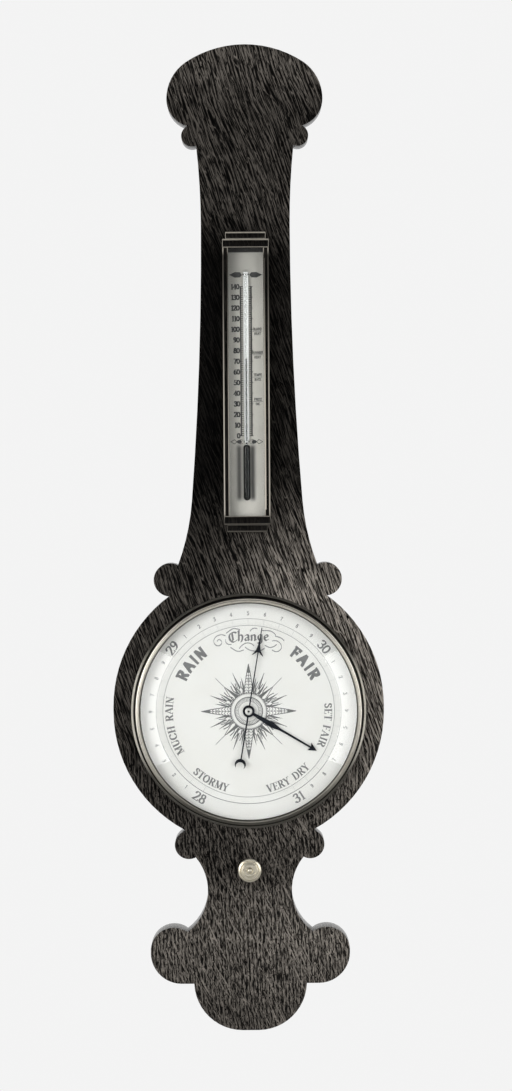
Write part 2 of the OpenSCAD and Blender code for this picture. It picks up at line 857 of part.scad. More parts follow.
// Two corrugated diaphragms soldered at the rim, between a bottom and a top boss
module capsule() {
  boss_r = 6;
  boss_h = 1.2;
  rim_h = 1;
  rim_w = 1;
  steps = 28;
  mid = capsule_h / 2;
  ridges = 3.5;
  ridge_h = 0.45;
  diaphragm = [for (i = [0:steps]) let (t = i / steps)
    [boss_r + (capsule_r - rim_w - boss_r) * t,
     boss_h + (mid - rim_h / 2 - boss_h) * t + ridge_h * sin(360 * ridges * t) * sin(180 * t)]];
  section = concat(
    [[0, 0], [boss_r, 0]], diaphragm, [[capsule_r, mid - rim_h / 2], [capsule_r, mid + rim_h / 2]],
    [for (i = [steps:-1:0]) [diaphragm[i].x, capsule_h - diaphragm[i].y]],
    [[boss_r, capsule_h], [0, capsule_h]]);
  color("#a8a49a") face_frame() translate([0, capsule_y, plate_z]) rotate_extrude() polygon(section);
}

module capsule_stud() {
  color("#8f8f8c") face_frame() translate([0, capsule_y, 0]) {
    translate([0, 0, ledge_z - capsule_nut_t]) cylinder(r = capsule_nut_r, h = capsule_nut_t, $fn = 6);
    disc(capsule_stud_r, ledge_z - capsule_nut_t / 2, plate_z);
  }
}

// Post on the capsule, with the knife edge that lies on the mainspring
module capsule_post() {
  color("#b59a5b") face_frame() translate([0, capsule_y, 0]) {
    disc(post_r, plate_z + capsule_h, lever_z + post_over);
    along_x(-knife_hw, knife_hw)
      polygon([[0, lever_z], [knife_h / 2, lever_z + knife_h], [-knife_h / 2, lever_z + knife_h]]);
  }
}

module spring_bridge() {
  color("#55544f") face_frame() translate([0, bridge_y, 0]) difference() {
    union() {
      both_sides() translate([bridge_post_x, 0, 0]) {
        disc(bridge_post_r, plate_z, spring_z - bridge_t);
        disc(bridge_foot_r, plate_z, plate_z + bridge_foot_t);
      }
      translate([0, 0, spring_z - bridge_t]) linear_extrude(bridge_t)
        link_shape(bridge_d / 2 - bridge_hw, 0, bridge_hw - bridge_d / 2, 0, bridge_d / 2);
    }
    both_sides() translate([clamp_screw_x, 0, 0])
      disc(screw_r + fit, spring_z - bridge_t - over, spring_z + over);
  }
}

module main_spring() {
  root_y = bridge_y + clamp_d / 2;
  free_y = capsule_y - spring_reach;
  waist_h = capsule_y + spring_reach;
  shape = [[-clamp_hw, root_y], [-clamp_hw, bridge_y - clamp_d], [-spring_hw, waist_h], [-spring_hw, free_y],
           [spring_hw, free_y], [spring_hw, waist_h], [clamp_hw, bridge_y - clamp_d], [clamp_hw, root_y]];
  color("#7c8086") face_frame() difference() {
    translate([0, 0, spring_z]) linear_extrude(spring_t) polygon(shape);
    translate([0, capsule_y, 0]) disc(post_r + post_gap, spring_z - over, lever_z + over);
    both_sides() translate([clamp_screw_x, bridge_y, 0]) disc(screw_r + fit, spring_z - over, lever_z + over);
    lever_screw_places() disc(small_screw_r + fit, spring_z - over, lever_z + over);
  }
}

module spring_clamp() {
  color("#55544f") face_frame() translate([0, bridge_y, 0]) difference() {
    block(-clamp_hw, clamp_hw, -clamp_d / 2, clamp_d / 2, lever_z, lever_z + clamp_t);
    both_sides() translate([clamp_screw_x, 0, 0])
      disc(screw_r + fit, lever_z - over, lever_z + clamp_t + over);
  }
}

module spring_clamp_screws() {
  color("#8f8f8c") face_frame() both_sides()
    translate([clamp_screw_x, bridge_y, lever_z + clamp_t + screw_head_h]) mirror([0, 0, 1])
      cheese_head_screw(screw_head_r, screw_head_h, screw_r, clamp_t + spring_t + bridge_t);
}

module lever_screw_places() { for (y = lever_screws_up) translate([lever_x, capsule_y + y, 0]) children(); }

// Tapered arm from the mainspring down to the link
module main_lever() {
  root_y = capsule_y + lever_rise;
  low_y = capsule_y + lever_shoulder;
  color("#b59a5b") face_frame() difference() {
    union() {
      translate([0, 0, lever_z]) linear_extrude(lever_t)
        polygon([[lever_x - lever_root / 2, root_y], [lever_x + lever_root / 2, root_y],
                 [lever_x + lever_root / 2, low_y], [tip_side + lever_tip_hw, -tip_low],
                 [tip_side - lever_tip_hw, -tip_low], [lever_x - lever_root / 2, low_y]]);
      translate([tip_side, -tip_low, 0]) disc(lever_tip_r, lever_z, lever_z + lever_t);
    }
    lever_screw_places() disc(small_screw_r + fit, lever_z - over, lever_z + lever_t + over);
    translate([tip_side, -tip_low, 0]) disc(link_r + fit, lever_z - over, lever_z + lever_t + over);
  }
}

module lever_screws() {
  color("#8f8f8c") face_frame() lever_screw_places()
    translate([0, 0, lever_z + lever_t + small_head_h]) mirror([0, 0, 1])
      cheese_head_screw(small_head_r, small_head_h, small_screw_r, lever_t + spring_t);
}

// Wire that hangs from the lever, with an open eye round the crank pin
module connecting_link() {
  color("#8f8f8c") face_frame() translate([tip_side, -tip_low, 0]) {
    disc(link_r, rocker_z + eye_r - eye_lap, lever_z + lever_t + link_head_h);
    disc(link_head_r, lever_z + lever_t, lever_z + lever_t + link_head_h);
    translate([0, 0, rocker_z]) difference() {
      bar_up(eye_r, -eye_t / 2, eye_t / 2);
      bar_up(eye_bore_r, -eye_t, eye_t);
    }
  }
}

module rocker_bracket() {
  cheek_hw = 2;
  color("#b59a5b") face_frame() translate([rocker_x, 0, 0]) difference() {
    union() {
      block(-cheek_hw, rocker_foot_w, cheek_low, cheek_high, plate_z, plate_z + bracket_foot_t);
      for (y = [cheek_low, cheek_high - cheek_t]) {
        block(-cheek_hw, cheek_hw, y, y + cheek_t, plate_z, rocker_z);
        translate([0, 0, rocker_z]) bar_up(cheek_hw, y, y + cheek_t);
      }
    }
    translate([0, 0, rocker_z]) bar_up(shaft_r + run, cheek_low - over, cheek_high + over);
  }
}

// Shaft with the crank that the link moves and the arm that pulls the chain
module rocking_shaft() {
  crank_y = -tip_low - eye_t / 2 - crank_gap;
  arm_y = chain_y - 1.25 * chain_plate_t - arm_t;
  color("#8f8f8c") face_frame() translate([rocker_x, 0, rocker_z]) {
    bar_up(shaft_r, cheek_low, cheek_high);
    bar_up(rocker_collar_r, cheek_low + cheek_t + pass, cheek_low + cheek_t + rocker_collar_end);
    bar_up(rocker_collar_r, cheek_high - cheek_t - rocker_collar_end, cheek_high - cheek_t - pass);
    for (y = [crank_y, arm_y]) bar_up(rocker_boss_r, y, y + arm_t);
    along_y(crank_y, crank_y + arm_t) link_shape(0, 0, -crank_len, 0, crank_hw);
    translate([-crank_len, 0, 0]) bar_up(crank_pin_r, crank_y, -tip_low + eye_t / 2 + crank_pin_over);
    along_y(arm_y, arm_y + arm_t) link_shape(0, 0, 0, chain_arm, arm_hw);
  }
}

// Fine riveted chain from the rocking shaft's arm to the drum
module chain() {
  color("#8f8f8c") face_frame() translate([0, chain_y, chain_z]) for (i = [0:chain_links - 1]) {
    x = i * chain_pitch;
    y = (i % 2 == 0 ? -0.75 : -0.25) * chain_plate_t;
    along_y(y, y + chain_plate_t) link_shape(x, 0, x + chain_pitch, 0, chain_plate_r);
    translate([x + chain_pitch, 0, 0]) bar_up(chain_plate_r / 2, -chain_plate_t, chain_plate_t);
  }
}

// Arbor with pivot, hairspring collet and drum, one turned piece
module arbor() {
  drum_hw = 1.1;
  rim_t = 0.4;
  rim_r = drum_r + 1.2;
  stem_r = arbor_r + 0.3;
  pivot_end = ledge_z + 0.2;
  drum_low = chain_z - drum_hw;
  drum_high = chain_z + drum_hw;
  spring_low = hairspring_z - rim_t;
  spring_high = hairspring_z + hairspring_h + rim_t;
  section = [
    [0, pivot_end], [pivot_r, pivot_end], [pivot_r, plate_z + pass], [stem_r, plate_z + pass],
    [stem_r, spring_low], [collet_r, spring_low], [collet_r, spring_high], [stem_r, spring_high],
    [stem_r, drum_low - rim_t], [rim_r, drum_low - rim_t], [rim_r, drum_low], [drum_r, drum_low],
    [drum_r, drum_high], [rim_r, drum_high], [rim_r, drum_high + rim_t], [arbor_r, drum_high + rim_t],
    [arbor_r, arbor_top], [0, arbor_top]];
  color("#8f8f8c") face_frame() rotate_extrude() polygon(section);
}

module hairspring() {
  per_turn = 24;
  steps = per_turn * hairspring_turns;
  edge = function (side) [for (i = [0:steps])
    let (a = 360 * i / per_turn, r = hairspring_r0 + hairspring_pitch * i / per_turn + side)
    [r * cos(a), r * sin(a)]];
  outer = edge(hairspring_t);
  inner = edge(0);
  color("#5a6a86") face_frame() translate([0, 0, hairspring_z]) linear_extrude(hairspring_h)
    polygon(concat(outer, [for (i = [steps:-1:0]) inner[i]]));
}

module hairspring_stud() {
  color("#8f8f8c") face_frame() translate([hairspring_r1 + hairspring_t + stud_r + fit, 0, 0])
    disc(stud_r, plate_z, hairspring_z + hairspring_h + stud_over);
}

// One-sided cock whose bush guides the arbor inside and the set hand's pipe outside
module arbor_cock() {
  color("#b59a5b") face_frame() difference() {
    union() {
      disc(cock_hw, cock_z, cock_z + cock_t);
      translate([0, 0, cock_z]) linear_extrude(cock_t)
        polygon([[0, cock_hw], [cock_foot_x, cock_end_r], [cock_foot_x, -cock_end_r], [0, -cock_hw]]);
      translate([cock_foot_x, 0, 0]) {
        disc(cock_end_r, cock_z, cock_z + cock_t);
        disc(cock_foot_r, plate_z, cock_z + cock_t);
      }
      disc(bush_r, cock_z, bush_top);
    }
    disc(arbor_r + run, cock_z - over, bush_top + over);
    translate([cock_foot_x, 0, 0]) disc(screw_r + fit, plate_z - over, plate_z + screw_len);
  }
}

module cock_screw() {
  color("#8f8f8c") face_frame() translate([cock_foot_x, 0, ledge_z - screw_head_h])
    cheese_head_screw(screw_head_r, screw_head_h, screw_r, screw_len);
}

// Jack screw under the bridge, turned through the hole in the back cover
module adjusting_screw() {
  color("#b59a5b") face_frame() translate([0, adjuster_y, ledge_z - adjuster_head_h - pass])
    cheese_head_screw(adjuster_head_r, adjuster_head_h, adjuster_r, spring_z - bridge_t - ledge_z);
}

// Both edges of a hand, from its right edge as shares of its half width and length
function both_edges(edge, hw, low, length) = concat(
  [for (p = edge) [p.x * hw, low + p.y * length]],
  [for (i = [len(edge) - 1:-1:0]) [-edge[i].x * hw, low + edge[i].y * length]]);

// Hands, drawn pointing up
module indicator_hand() {
  tail_end = crescent_r - crescent_lap - hand_tail;
  arrow_edge = [[0.07, 1], [0.15, 0.66], [0.22, 0.48], [0.38, 0.28], [0.64, 0.15], [1, 0.012], [0.86, 0],
                [0.52, 0.08], [0.2, 0.16], [0.1, 0.15]];
  color("#23262e") face_frame() turn_clockwise(hand_rest) translate([0, 0, hand_z]) difference() {
    union() {
      disc(hand_boss_r, 0, hand_t);
      linear_extrude(hand_t)
        polygon([[-shaft_hw, 0], [-shaft_tip_hw, hand_len], [shaft_tip_hw, hand_len], [shaft_hw, 0]]);
      linear_extrude(hand_t) polygon(both_edges(arrow_edge, arrow_hw, hand_len - arrow_back, arrow_len));
      linear_extrude(hand_t)
        polygon([[-tail_hw, 0], [-shaft_hw, tail_end], [shaft_hw, tail_end], [tail_hw, 0]]);
      translate([0, -hand_tail, 0]) difference() {
        disc(crescent_r, 0, hand_t);
        translate([0, -crescent_drop, 0]) disc(crescent_cut_r, -over, hand_t + over);
      }
    }
    disc(collet_neck_r + fit, -over, hand_t + over);
  }
}

// Collet riveted through the indicator hand
module indicator_collet() {
  top = hand_z + hand_t + button_h;
  round_r = 0.8;
  section = concat(
    [[arbor_r + fit, hand_collet_z], [flange_r, hand_collet_z], [flange_r, hand_z - fit],
     [collet_neck_r, hand_z - fit], [collet_neck_r, hand_z + hand_t + fit],
     [button_r, hand_z + hand_t + fit]],
    arc(button_r - round_r, top - round_r, round_r, 0, 90, 5), [[arbor_r + fit, top]]);
  color("#c9c5b8") face_frame() rotate_extrude() polygon(section);
}

module set_hand() {
  head_y = set_len - set_head_len;
  spade_edge = [[0.33, 0.916], [0.39, 0.65], [0.43, 0.46], [0.87, 0.385], [1, 0.355], [0.83, 0.215],
                [0.54, 0.09], [0.52, 0]];
  color("#23262e") face_frame() turn_clockwise(set_rest) translate([0, 0, set_hand_z]) difference() {
    union() {
      disc(hand_boss_r, 0, hand_t);
      linear_extrude(hand_t) polygon(both_edges(spade_edge, spade_hw, 0, set_len));
      linear_extrude(hand_t)
        polygon([[0, set_len], [set_head_hw, head_y], [0, head_y + set_head_notch], [-set_head_hw, head_y]]);
    }
    disc(pipe_r + fit, -over, hand_t + over);
  }
}

// Set hand drive
module set_hand_pipe() {
  color("#b59a5b") face_frame()
    ring(pipe_r, pipe_bore_r, cock_z + cock_t + pipe_foot_gap, set_hand_z + hand_t + pipe_over);
}

// Crown wheel with its teeth standing on the face z = crown_t
module crown_wheel(bore_r, tooth_h) {
  half_angle = asin(crown_tooth_t / 2 / crown_r_mesh);
  pitch_angle = 360 / crown_teeth;
  tooth_out_r = crown_out_r - tooth_in;
  tooth = [for (p = [[crown_in_r, -1], [tooth_out_r, -1], [tooth_out_r, 1], [crown_in_r, 1]])
    [p.x * cos(half_angle), p.x * p.y * sin(half_angle)]];
  difference() {
    union() {
      disc(crown_out_r, 0, crown_t);
      for (i = [0:crown_teeth - 1]) rotate([0, 0, 90 + (i + 0.5) * pitch_angle])
        linear_extrude(crown_t + tooth_h) polygon(tooth);
    }
    disc(bore_r, -over, crown_t + over);
    round_places((bore_r + crown_in_r) / 2 + crown_hole_out, [30:60:330])
      disc(crown_hole_r, -over, crown_t + over);
  }
}

module set_hand_crown_wheel() {
  color("#b59a5b") face_frame() translate([0, 0, rod_z + crown_face_gap + crown_t]) rotate([180, 0, 0])
    crown_wheel(pipe_r + fit, crown_face_gap - crown_tip_gap);
}

module set_rod() {
  color("#8f8f8c") face_frame() translate([0, 0, rod_z]) {
    bar_up(rod_r, rod_low, rod_top);
    translate([0, upper_bracket_y, 0]) {
      bar_up(collar_r, bracket_t / 2 + pass, bracket_t / 2 + pass + collar_t);
      bar_up(collar_r, -bracket_t / 2 - pass - collar_t, -bracket_t / 2 - pass);
    }
  }
}

module pinion() {
  leaf_root_r = pinion_root_r - leaf_sink;
  difference() {
    union() {
      circle(pinion_root_r);
      for (i = [0:pinion_leaves - 1]) rotate(90 + i * 360 / pinion_leaves)
        polygon([[leaf_root_r, -leaf_root_hw], [pinion_tip_r, -leaf_tip_hw],
                 [pinion_tip_r, leaf_tip_hw], [leaf_root_r, leaf_root_hw]]);
    }
    circle(rod_r + fit);
  }
}

module rod_pinions() {
  color("#b59a5b") face_frame() translate([0, 0, rod_z]) {
    along_y(rod_top - pinion_w, rod_top) pinion();
    along_y(rod_low, rod_low + pinion_w) rotate(180) pinion();
  }
}

module rod_bracket_upper() {
  color("#b59a5b") face_frame() difference() {
    union() {
      translate([0, upper_bracket_y, 0]) {
        block(-bracket_hw, bracket_hw, -bracket_t / 2, bracket_t / 2, plate_z, rod_z - bracket_hw);
        block(-bracket_eye_r, bracket_eye_r, -bracket_t / 2, bracket_t / 2, plate_z, rod_z);
        translate([0, 0, rod_z]) bar_up(bracket_eye_r, -bracket_t / 2, bracket_t / 2);
        block(-bracket_hw, bracket_hw, -upper_foot_len, 0, plate_z, plate_z + upper_foot_t);
      }
    }
    translate([0, 0, rod_z]) bar_up(rod_r + run, upper_bracket_y - bracket_t, upper_bracket_y + bracket_t);
    translate([0, upper_screw_y, 0]) disc(screw_r + fit, plate_z - over, plate_z + upper_foot_t + over);
  }
}

module rod_bracket_lower() {
  color("#b59a5b") face_frame() difference() {
    union() {
      translate([0, lower_bracket_y, 0]) {
        block(-bracket_eye_r, bracket_eye_r, -bracket_t / 2, bracket_t / 2, rod_z, channel_z);
        translate([0, 0, rod_z]) bar_up(bracket_eye_r, -bracket_t / 2, bracket_t / 2);
        block(-bracket_hw, bracket_hw, -bracket_t / 2, lower_foot_len, channel_z - lower_foot_t, channel_z);
      }
    }
    translate([0, 0, rod_z]) bar_up(rod_r + run, lower_bracket_y - bracket_t, lower_bracket_y + bracket_t);
    lower_bracket_screw_places() disc(lower_screw_r + fit, channel_z - lower_foot_t - over, channel_z + over);
  }
}

module lower_bracket_screw_places() {
  both_sides() translate([lower_screw_x, lower_screw_y, 0]) children();
}

module rod_bracket_screws() {
  color("#8f8f8c") face_frame() {
    lower_bracket_screw_places() translate([0, 0, channel_z - lower_foot_t - lower_screw_head_h])
      cheese_head_screw(lower_screw_head_r, lower_screw_head_h, lower_screw_r,
                        lower_foot_t + lower_screw_bite);
    translate([0, upper_screw_y, plate_z + upper_foot_t + small_head_h]) mirror([0, 0, 1])
      cheese_head_screw(screw_head_r, small_head_h, screw_r, upper_foot_t + plate_t);
  }
}

// Turned knob with a ringed face, on a shaft that runs in a bush
module knob() {
  face_in_and_down = [[0.7, 2.2], [1.6, 1.8], [2.2, 2.3], [2.9, 2.3], [3.2, 1.5], [4.6, 1.2], [5, 1.9]];
  boss_foot = 1.9;
  boss_gap = 0.4;
  section = concat(
    [[knob_shaft_r + fit, 0], [knob_foot_r, 0], [knob_foot_r, knob_foot_h],
     [knob_stem_r, knob_foot_h + knob_foot_slope]],
    arc(knob_stem_r + knob_cove_r, knob_stem_h, knob_cove_r, 180, 90, 10),
    arc(knob_r - knob_rim_r, knob_rim_z, knob_rim_r, -80, 70, 6),
    [for (p = face_in_and_down) [knob_r - p.x, knob_h - p.y]],
    [[knob_boss_r + boss_gap, knob_h - boss_foot]],
    arc(0, knob_h - knob_boss_r, knob_boss_r, 24, 90, 6),
    [[0, knob_bore_d], [knob_shaft_r + fit, knob_bore_d]]);
  color("#c9b47c") face_frame() translate([0, -knob_drop, knob_z]) rotate_extrude() polygon(section);
}

module knob_shaft() {
  color("#8f8f8c") face_frame() translate([0, -knob_drop, 0])
    disc(knob_shaft_r, knob_wheel_z - knob_shaft_over, knob_z + knob_bore_d - fit);
}

module knob_crown_wheel() {
  color("#b59a5b") face_frame() translate([0, -knob_drop, knob_wheel_z]) {
    crown_wheel(knob_shaft_r + fit, crown_face_gap - crown_tip_gap);
    ring(wheel_hub_r, knob_shaft_r + fit, crown_t, pocket_z - knob_wheel_z - pass);
  }
}

module knob_bush() {
  color("#b59a5b") face_frame() translate([0, -knob_drop, 0]) difference() {
    union() {
      disc(bush_out_r, pocket_z, case_t + bush_flange_t);
      disc(bush_flange_r, case_t, case_t + bush_flange_t);
    }
    disc(knob_shaft_r + run, pocket_z - over, case_t + bush_flange_t + over);
  }
}

// Thermometer box
module thermometer_backboard() {
  color("#2e2722") face_frame() difference() {
    block(-rail_in + fit, rail_in - fit, rail_low + fit, rail_high - fit, box_z, box_z + backboard_t);
    for (y = box_screw_y) translate([0, y, 0]) disc(screw_r + fit, box_z - over, box_screw_end_z + fit);
  }
}

module thermometer_side_rails() {
  color("#2e2722") face_frame() both_sides() along_y(rail_low, rail_high) difference() {
    polygon([[rail_in, box_z], [box_hw, box_z], [box_hw, rail_z - rail_outer_chamfer],
             [box_hw - rail_outer_chamfer, rail_z], [rail_in + rail_inner_chamfer, rail_z],
             [rail_in, rail_z - rail_inner_chamfer]]);
    translate([rail_in - over, pane_z - fit]) square([groove_d + over, pane_t + 2 * fit]);
  }
}

// Stepped cap with rounded front edges, its foot at y = 0
module thermometer_cap() {
  wide_z = rail_z + cap_proud;
  narrow_z = rail_z - cap_step;
  round_r = 2;
  cap_h = cap_wide_h + cap_narrow_h;
  section = concat(
    [[0, box_z], [0, wide_z]], arc(cap_wide_h - round_r, wide_z - round_r, round_r, 90, 0, 6),
    [[cap_wide_h, narrow_z]], arc(cap_h - round_r, narrow_z - round_r, round_r, 90, 0, 6), [[cap_h, box_z]]);
  intersection() {
    along_x(-box_hw, box_hw) polygon(section);
    translate([0, 0, box_z - over]) linear_extrude(wide_z) union() {
      translate([-box_hw, 0]) square([2 * box_hw, cap_wide_h]);
      translate([cap_step - box_hw, 0]) square([2 * (box_hw - cap_step), cap_h]);
    }
  }
}

module thermometer_top_cap() { color("#2e2722") face_frame() translate([0, rail_high, 0]) thermometer_cap(); }

module thermometer_bottom_cap() {
  color("#2e2722") face_frame() translate([0, rail_low, 0]) mirror([0, 1, 0]) thermometer_cap();
}

module thermometer_scale() {
  color("#b9b4a6") face_frame()
    block(-rail_in + fit, rail_in - fit, rail_low + fit, rail_high - fit, box_z + backboard_t, scale_z);
}

// Half section of a tube with round ends
module tube_section(r, low, high) {
  polygon(concat([[0, low]], arc(0, low + r, r, -90, 0), arc(0, high - r, r, 0, 90)));
}

module along_tube() { translate([0, 0, tube_z]) rotate([-90, 0, 0]) children(); }

module thermometer_tube() {
  color("#e8ecec", 0.5) face_frame() along_tube() rotate_extrude() difference() {
    union() {
      tube_section(bulb_r, bulb_low, bulb_top);
      translate([0, bulb_top - tube_neck_h / 2]) square([tube_neck_r, tube_neck_h]);
      tube_section(tube_r, bulb_top - tube_lap, tube_top);
    }
    tube_section(bulb_r - bulb_wall, bulb_low + bulb_wall, bulb_top - bulb_crown_t);
    translate([0, bulb_top - 2 * bulb_crown_t]) square([bore_r, tube_top - bulb_top]);
  }
}

module mercury() {
  color("#9fa3a6") face_frame() along_tube() rotate_extrude() union() {
    tube_section(bulb_r - bulb_wall - fit, bulb_low + bulb_wall + fit, bulb_top - bulb_crown_t - fit);
    translate([0, bulb_top - 2 * bulb_crown_t])
      square([bore_r - fit, mercury_top - bulb_top + 2 * bulb_crown_t]);
  }
}

// Arch over the tube, with legs down to a depth behind its axis
module tie_arch(r, depth) {
  polygon(concat([[r, -depth]], arc(0, 0, r, 0, 180, 24), [[-r, -depth]]));
}

// Wire loops that hold the tube to the scale
module tube_ties() {
  inside_r = tube_r + fit;
  depth = tube_z - scale_z;
  color("#b59a5b") face_frame() for (y = tie_y) translate([0, 0, tube_z])
    along_y(y - tie_w / 2, y + tie_w / 2) difference() {
      tie_arch(inside_r + tie_t, depth);
      tie_arch(inside_r, depth + over);
    }
}

module thermometer_glass() {
  hw = rail_in + groove_d - 2 * fit;
  color("#dfe6e6", 0.3) face_frame() block(-hw, hw, rail_low + fit, rail_high - fit, pane_z, pane_z + pane_t);
}

module thermometer_box_screws() {
  color("#8f8f8c") face_frame() for (y = box_screw_y) translate([0, y, box_screw_head_z])
    cheese_head_screw(screw_head_r, screw_head_h, screw_r, box_screw_end_z - box_screw_head_z - screw_head_h);
}

case_board();
back_cover();
back_cover_screws();
rod_cover();
rod_cover_screws();
hanging_plate();
hanging_plate_screws();
bezel();
bezel_glass();
glass_ring();
dial_plate();
dial_pillars();
pillar_screws();
movement_plate();
movement_plate_screws();
capsule();
capsule_stud();
capsule_post();
spring_bridge();
main_spring();
spring_clamp();
spring_clamp_screws();
main_lever();
lever_screws();
connecting_link();
rocker_bracket();
rocking_shaft();
chain();
arbor();
hairspring();
hairspring_stud();
arbor_cock();
cock_screw();
adjusting_screw();
indicator_hand();
indicator_collet();
set_hand();
set_hand_pipe();
set_hand_crown_wheel();
set_rod();
rod_pinions();
rod_bracket_upper();
rod_bracket_lower();
rod_bracket_screws();
knob();
knob_shaft();
knob_crown_wheel();
knob_bush();
thermometer_backboard();
thermometer_side_rails();
thermometer_top_cap();
thermometer_bottom_cap();
thermometer_scale();
thermometer_tube();
mercury();
tube_ties();
thermometer_glass();
thermometer_box_screws();
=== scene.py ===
import json
import math

import bmesh
import bpy
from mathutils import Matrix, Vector


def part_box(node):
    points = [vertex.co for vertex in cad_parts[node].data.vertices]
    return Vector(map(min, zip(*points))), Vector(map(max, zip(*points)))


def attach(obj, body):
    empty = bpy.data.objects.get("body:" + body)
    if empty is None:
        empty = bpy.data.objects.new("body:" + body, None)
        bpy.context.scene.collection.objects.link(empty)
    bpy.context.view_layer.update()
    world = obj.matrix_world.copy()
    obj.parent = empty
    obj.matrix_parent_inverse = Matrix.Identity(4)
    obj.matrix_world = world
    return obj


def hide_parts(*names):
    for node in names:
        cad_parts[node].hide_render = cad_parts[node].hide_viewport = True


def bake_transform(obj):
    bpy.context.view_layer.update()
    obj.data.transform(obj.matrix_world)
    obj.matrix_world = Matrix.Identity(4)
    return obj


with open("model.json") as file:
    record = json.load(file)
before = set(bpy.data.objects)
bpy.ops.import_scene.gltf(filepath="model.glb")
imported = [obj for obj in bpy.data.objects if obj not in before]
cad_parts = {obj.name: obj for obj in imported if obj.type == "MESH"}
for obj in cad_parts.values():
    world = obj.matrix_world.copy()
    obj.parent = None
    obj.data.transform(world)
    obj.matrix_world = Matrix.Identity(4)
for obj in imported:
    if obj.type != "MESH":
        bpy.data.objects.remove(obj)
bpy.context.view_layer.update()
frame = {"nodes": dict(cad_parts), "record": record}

# Millimetres above or below the dial axis
HANG_H = 538.0  # hanging hole, at the height of the frame's origin
KNOB_DROP = 136.5  # axis of the knob, below
CLAMP_EDGE = 58.5  # edge of the mainspring's clamp, where the lever's hinge is
LEVER_ROOT = 51.0  # upper end of the lever
BULB_DARK_TOP = 229.0  # top of the dark glass at the thermometer's bulb
SCALE_FOOT = 237.2  # nought on the thermometer's scale
DEGREE_H = 0.9171  # from one degree of the scale to the next

# Millimetres in front of the wall
BOARD_FACE = 32.0
DIAL_FACE = 35.5
SCALE_FACE = 35.5
TUBE_AXIS = 38.9
LEVER_BACK = 23.0

# Millimetres in front of a sheet: its print, each further level of print, and words over the rest
INK_T = 0.03
INK_STEP = 0.002
WORD_LIFT = 0.01

# Radii of the dial's two printed rings, in millimetres
RING_IN = 73.9
RING_OUT = 79.5

# Heights in the frame, in metres
DIAL_Z = -HANG_H / 1000
KNOB_Z = -(HANG_H + KNOB_DROP) / 1000
CAPSULE_Z = -0.502
CASE_FOOT_Z = -0.82
CASE_TOP_Z = 0.04
BOX_FOOT_Z = -0.39
BOX_TOP_Z = -0.12
SLANT_FOOT_Z = -0.57
TAIL_TOP_Z = -0.6


def place(x, y, z):
    """A point right of, above and in front of the dial axis, in the frame's metres."""
    return Vector((x, -z, y - HANG_H)) / 1000


# Shader helpers
def add(tree, kind, at=(0, 0), settings=None, values=None):
    node = tree.nodes.new("ShaderNode" + kind)
    node.location = at
    for key, value in (settings or {}).items():
        setattr(node, key, value)
    for key, value in (values or {}).items():
        node.inputs[key].default_value = value
    return node


def join(tree, source, target):
    tree.links.new(source, target)


def maths(tree, operation, *values):
    """One operation on one or two values, carried on over any further ones."""
    node = add(tree, "Math", (0, 0), {"operation": operation})
    for socket, value in zip(node.inputs, values[:2]):
        if isinstance(value, (int, float)):
            socket.default_value = value
        else:
            join(tree, value, socket)
    rest = values[2:]
    return maths(tree, operation, node.outputs[0], *rest) if rest else node.outputs[0]


def close_to(tree, value, middle, reach):
    near = maths(tree, "COMPARE", value, middle)
    near.node.inputs[2].default_value = reach
    return near


def ramp(tree, source, stops, at=(0, 0)):
    node = add(tree, "ValToRGB", at)
    elements = node.color_ramp.elements
    while len(elements) < len(stops):
        elements.new(0.5)
    for element, (where, tone) in zip(elements, stops):
        element.position = where
        element.color = (tone, tone, tone, 1)
    join(tree, source, node.inputs[0])
    return node.outputs[0]


def ranged(tree, value, low, high, least=0.0, most=1.0, smooth=False):
    """A value carried from one range to another and held at both ends."""
    kind = {"interpolation_type": "SMOOTHSTEP" if smooth else "LINEAR"}
    ends = {"From Min": low, "From Max": high, "To Min": least, "To Max": most}
    node = add(tree, "MapRange", (-500, 300), kind, ends)
    join(tree, value, node.inputs["Value"])
    return node.outputs[0]


def axes_of(tree, kind="Object", at=(-900, 300)):
    """The x, y and z of a place or of a face's direction."""
    where = add(tree, "TexCoord", at)
    axes = add(tree, "SeparateXYZ", (at[0] + 200, at[1]))
    join(tree, where.outputs[kind], axes.inputs[0])
    return axes.outputs


def noise(tree, vector, **values):
    node = add(tree, "TexNoise", (0, 0), None, values)
    join(tree, vector, node.inputs["Vector"])
    return node


def mixed_surface(tree, factor, first, second, output="Material Output"):
    """Two shaders mixed by a factor, shown as the surface."""
    mix = add(tree, "MixShader", (300, 0))
    for socket, source in zip(mix.inputs, (factor, first, second)):
        join(tree, source, socket)
    join(tree, mix.outputs[0], tree.nodes[output].inputs["Surface"])


def group(name, inputs, outputs):
    """A node group whose inputs have the given values, with its input and output nodes."""
    tree = bpy.data.node_groups.new(name, "ShaderNodeTree")
    for label, value in inputs.items():
        socket = tree.interface.new_socket(label, in_out="INPUT", socket_type="NodeSocketFloat")
        socket.default_value = value
    for label in outputs:
        tree.interface.new_socket(label, in_out="OUTPUT", socket_type="NodeSocketFloat")
    return tree, tree.nodes.new("NodeGroupInput"), tree.nodes.new("NodeGroupOutput")


def use(tree, made, at=(-600, 0), **values):
    node = tree.nodes.new("ShaderNodeGroup")
    node.node_tree = made
    node.location = at
    for key, value in values.items():
        node.inputs[key.replace("_", " ")].default_value = value
    return node


def finish_named(name, **values):
    """A new material with its main shader, whose constant values are set on its own sockets."""
    made = bpy.data.materials.new(name)
    made.use_nodes = True
    tree = made.node_tree
    shader = tree.nodes["Principled BSDF"]
    for key, value in values.items():
        shader.inputs[key.replace("_", " ")].default_value = value
    return made, tree, shader


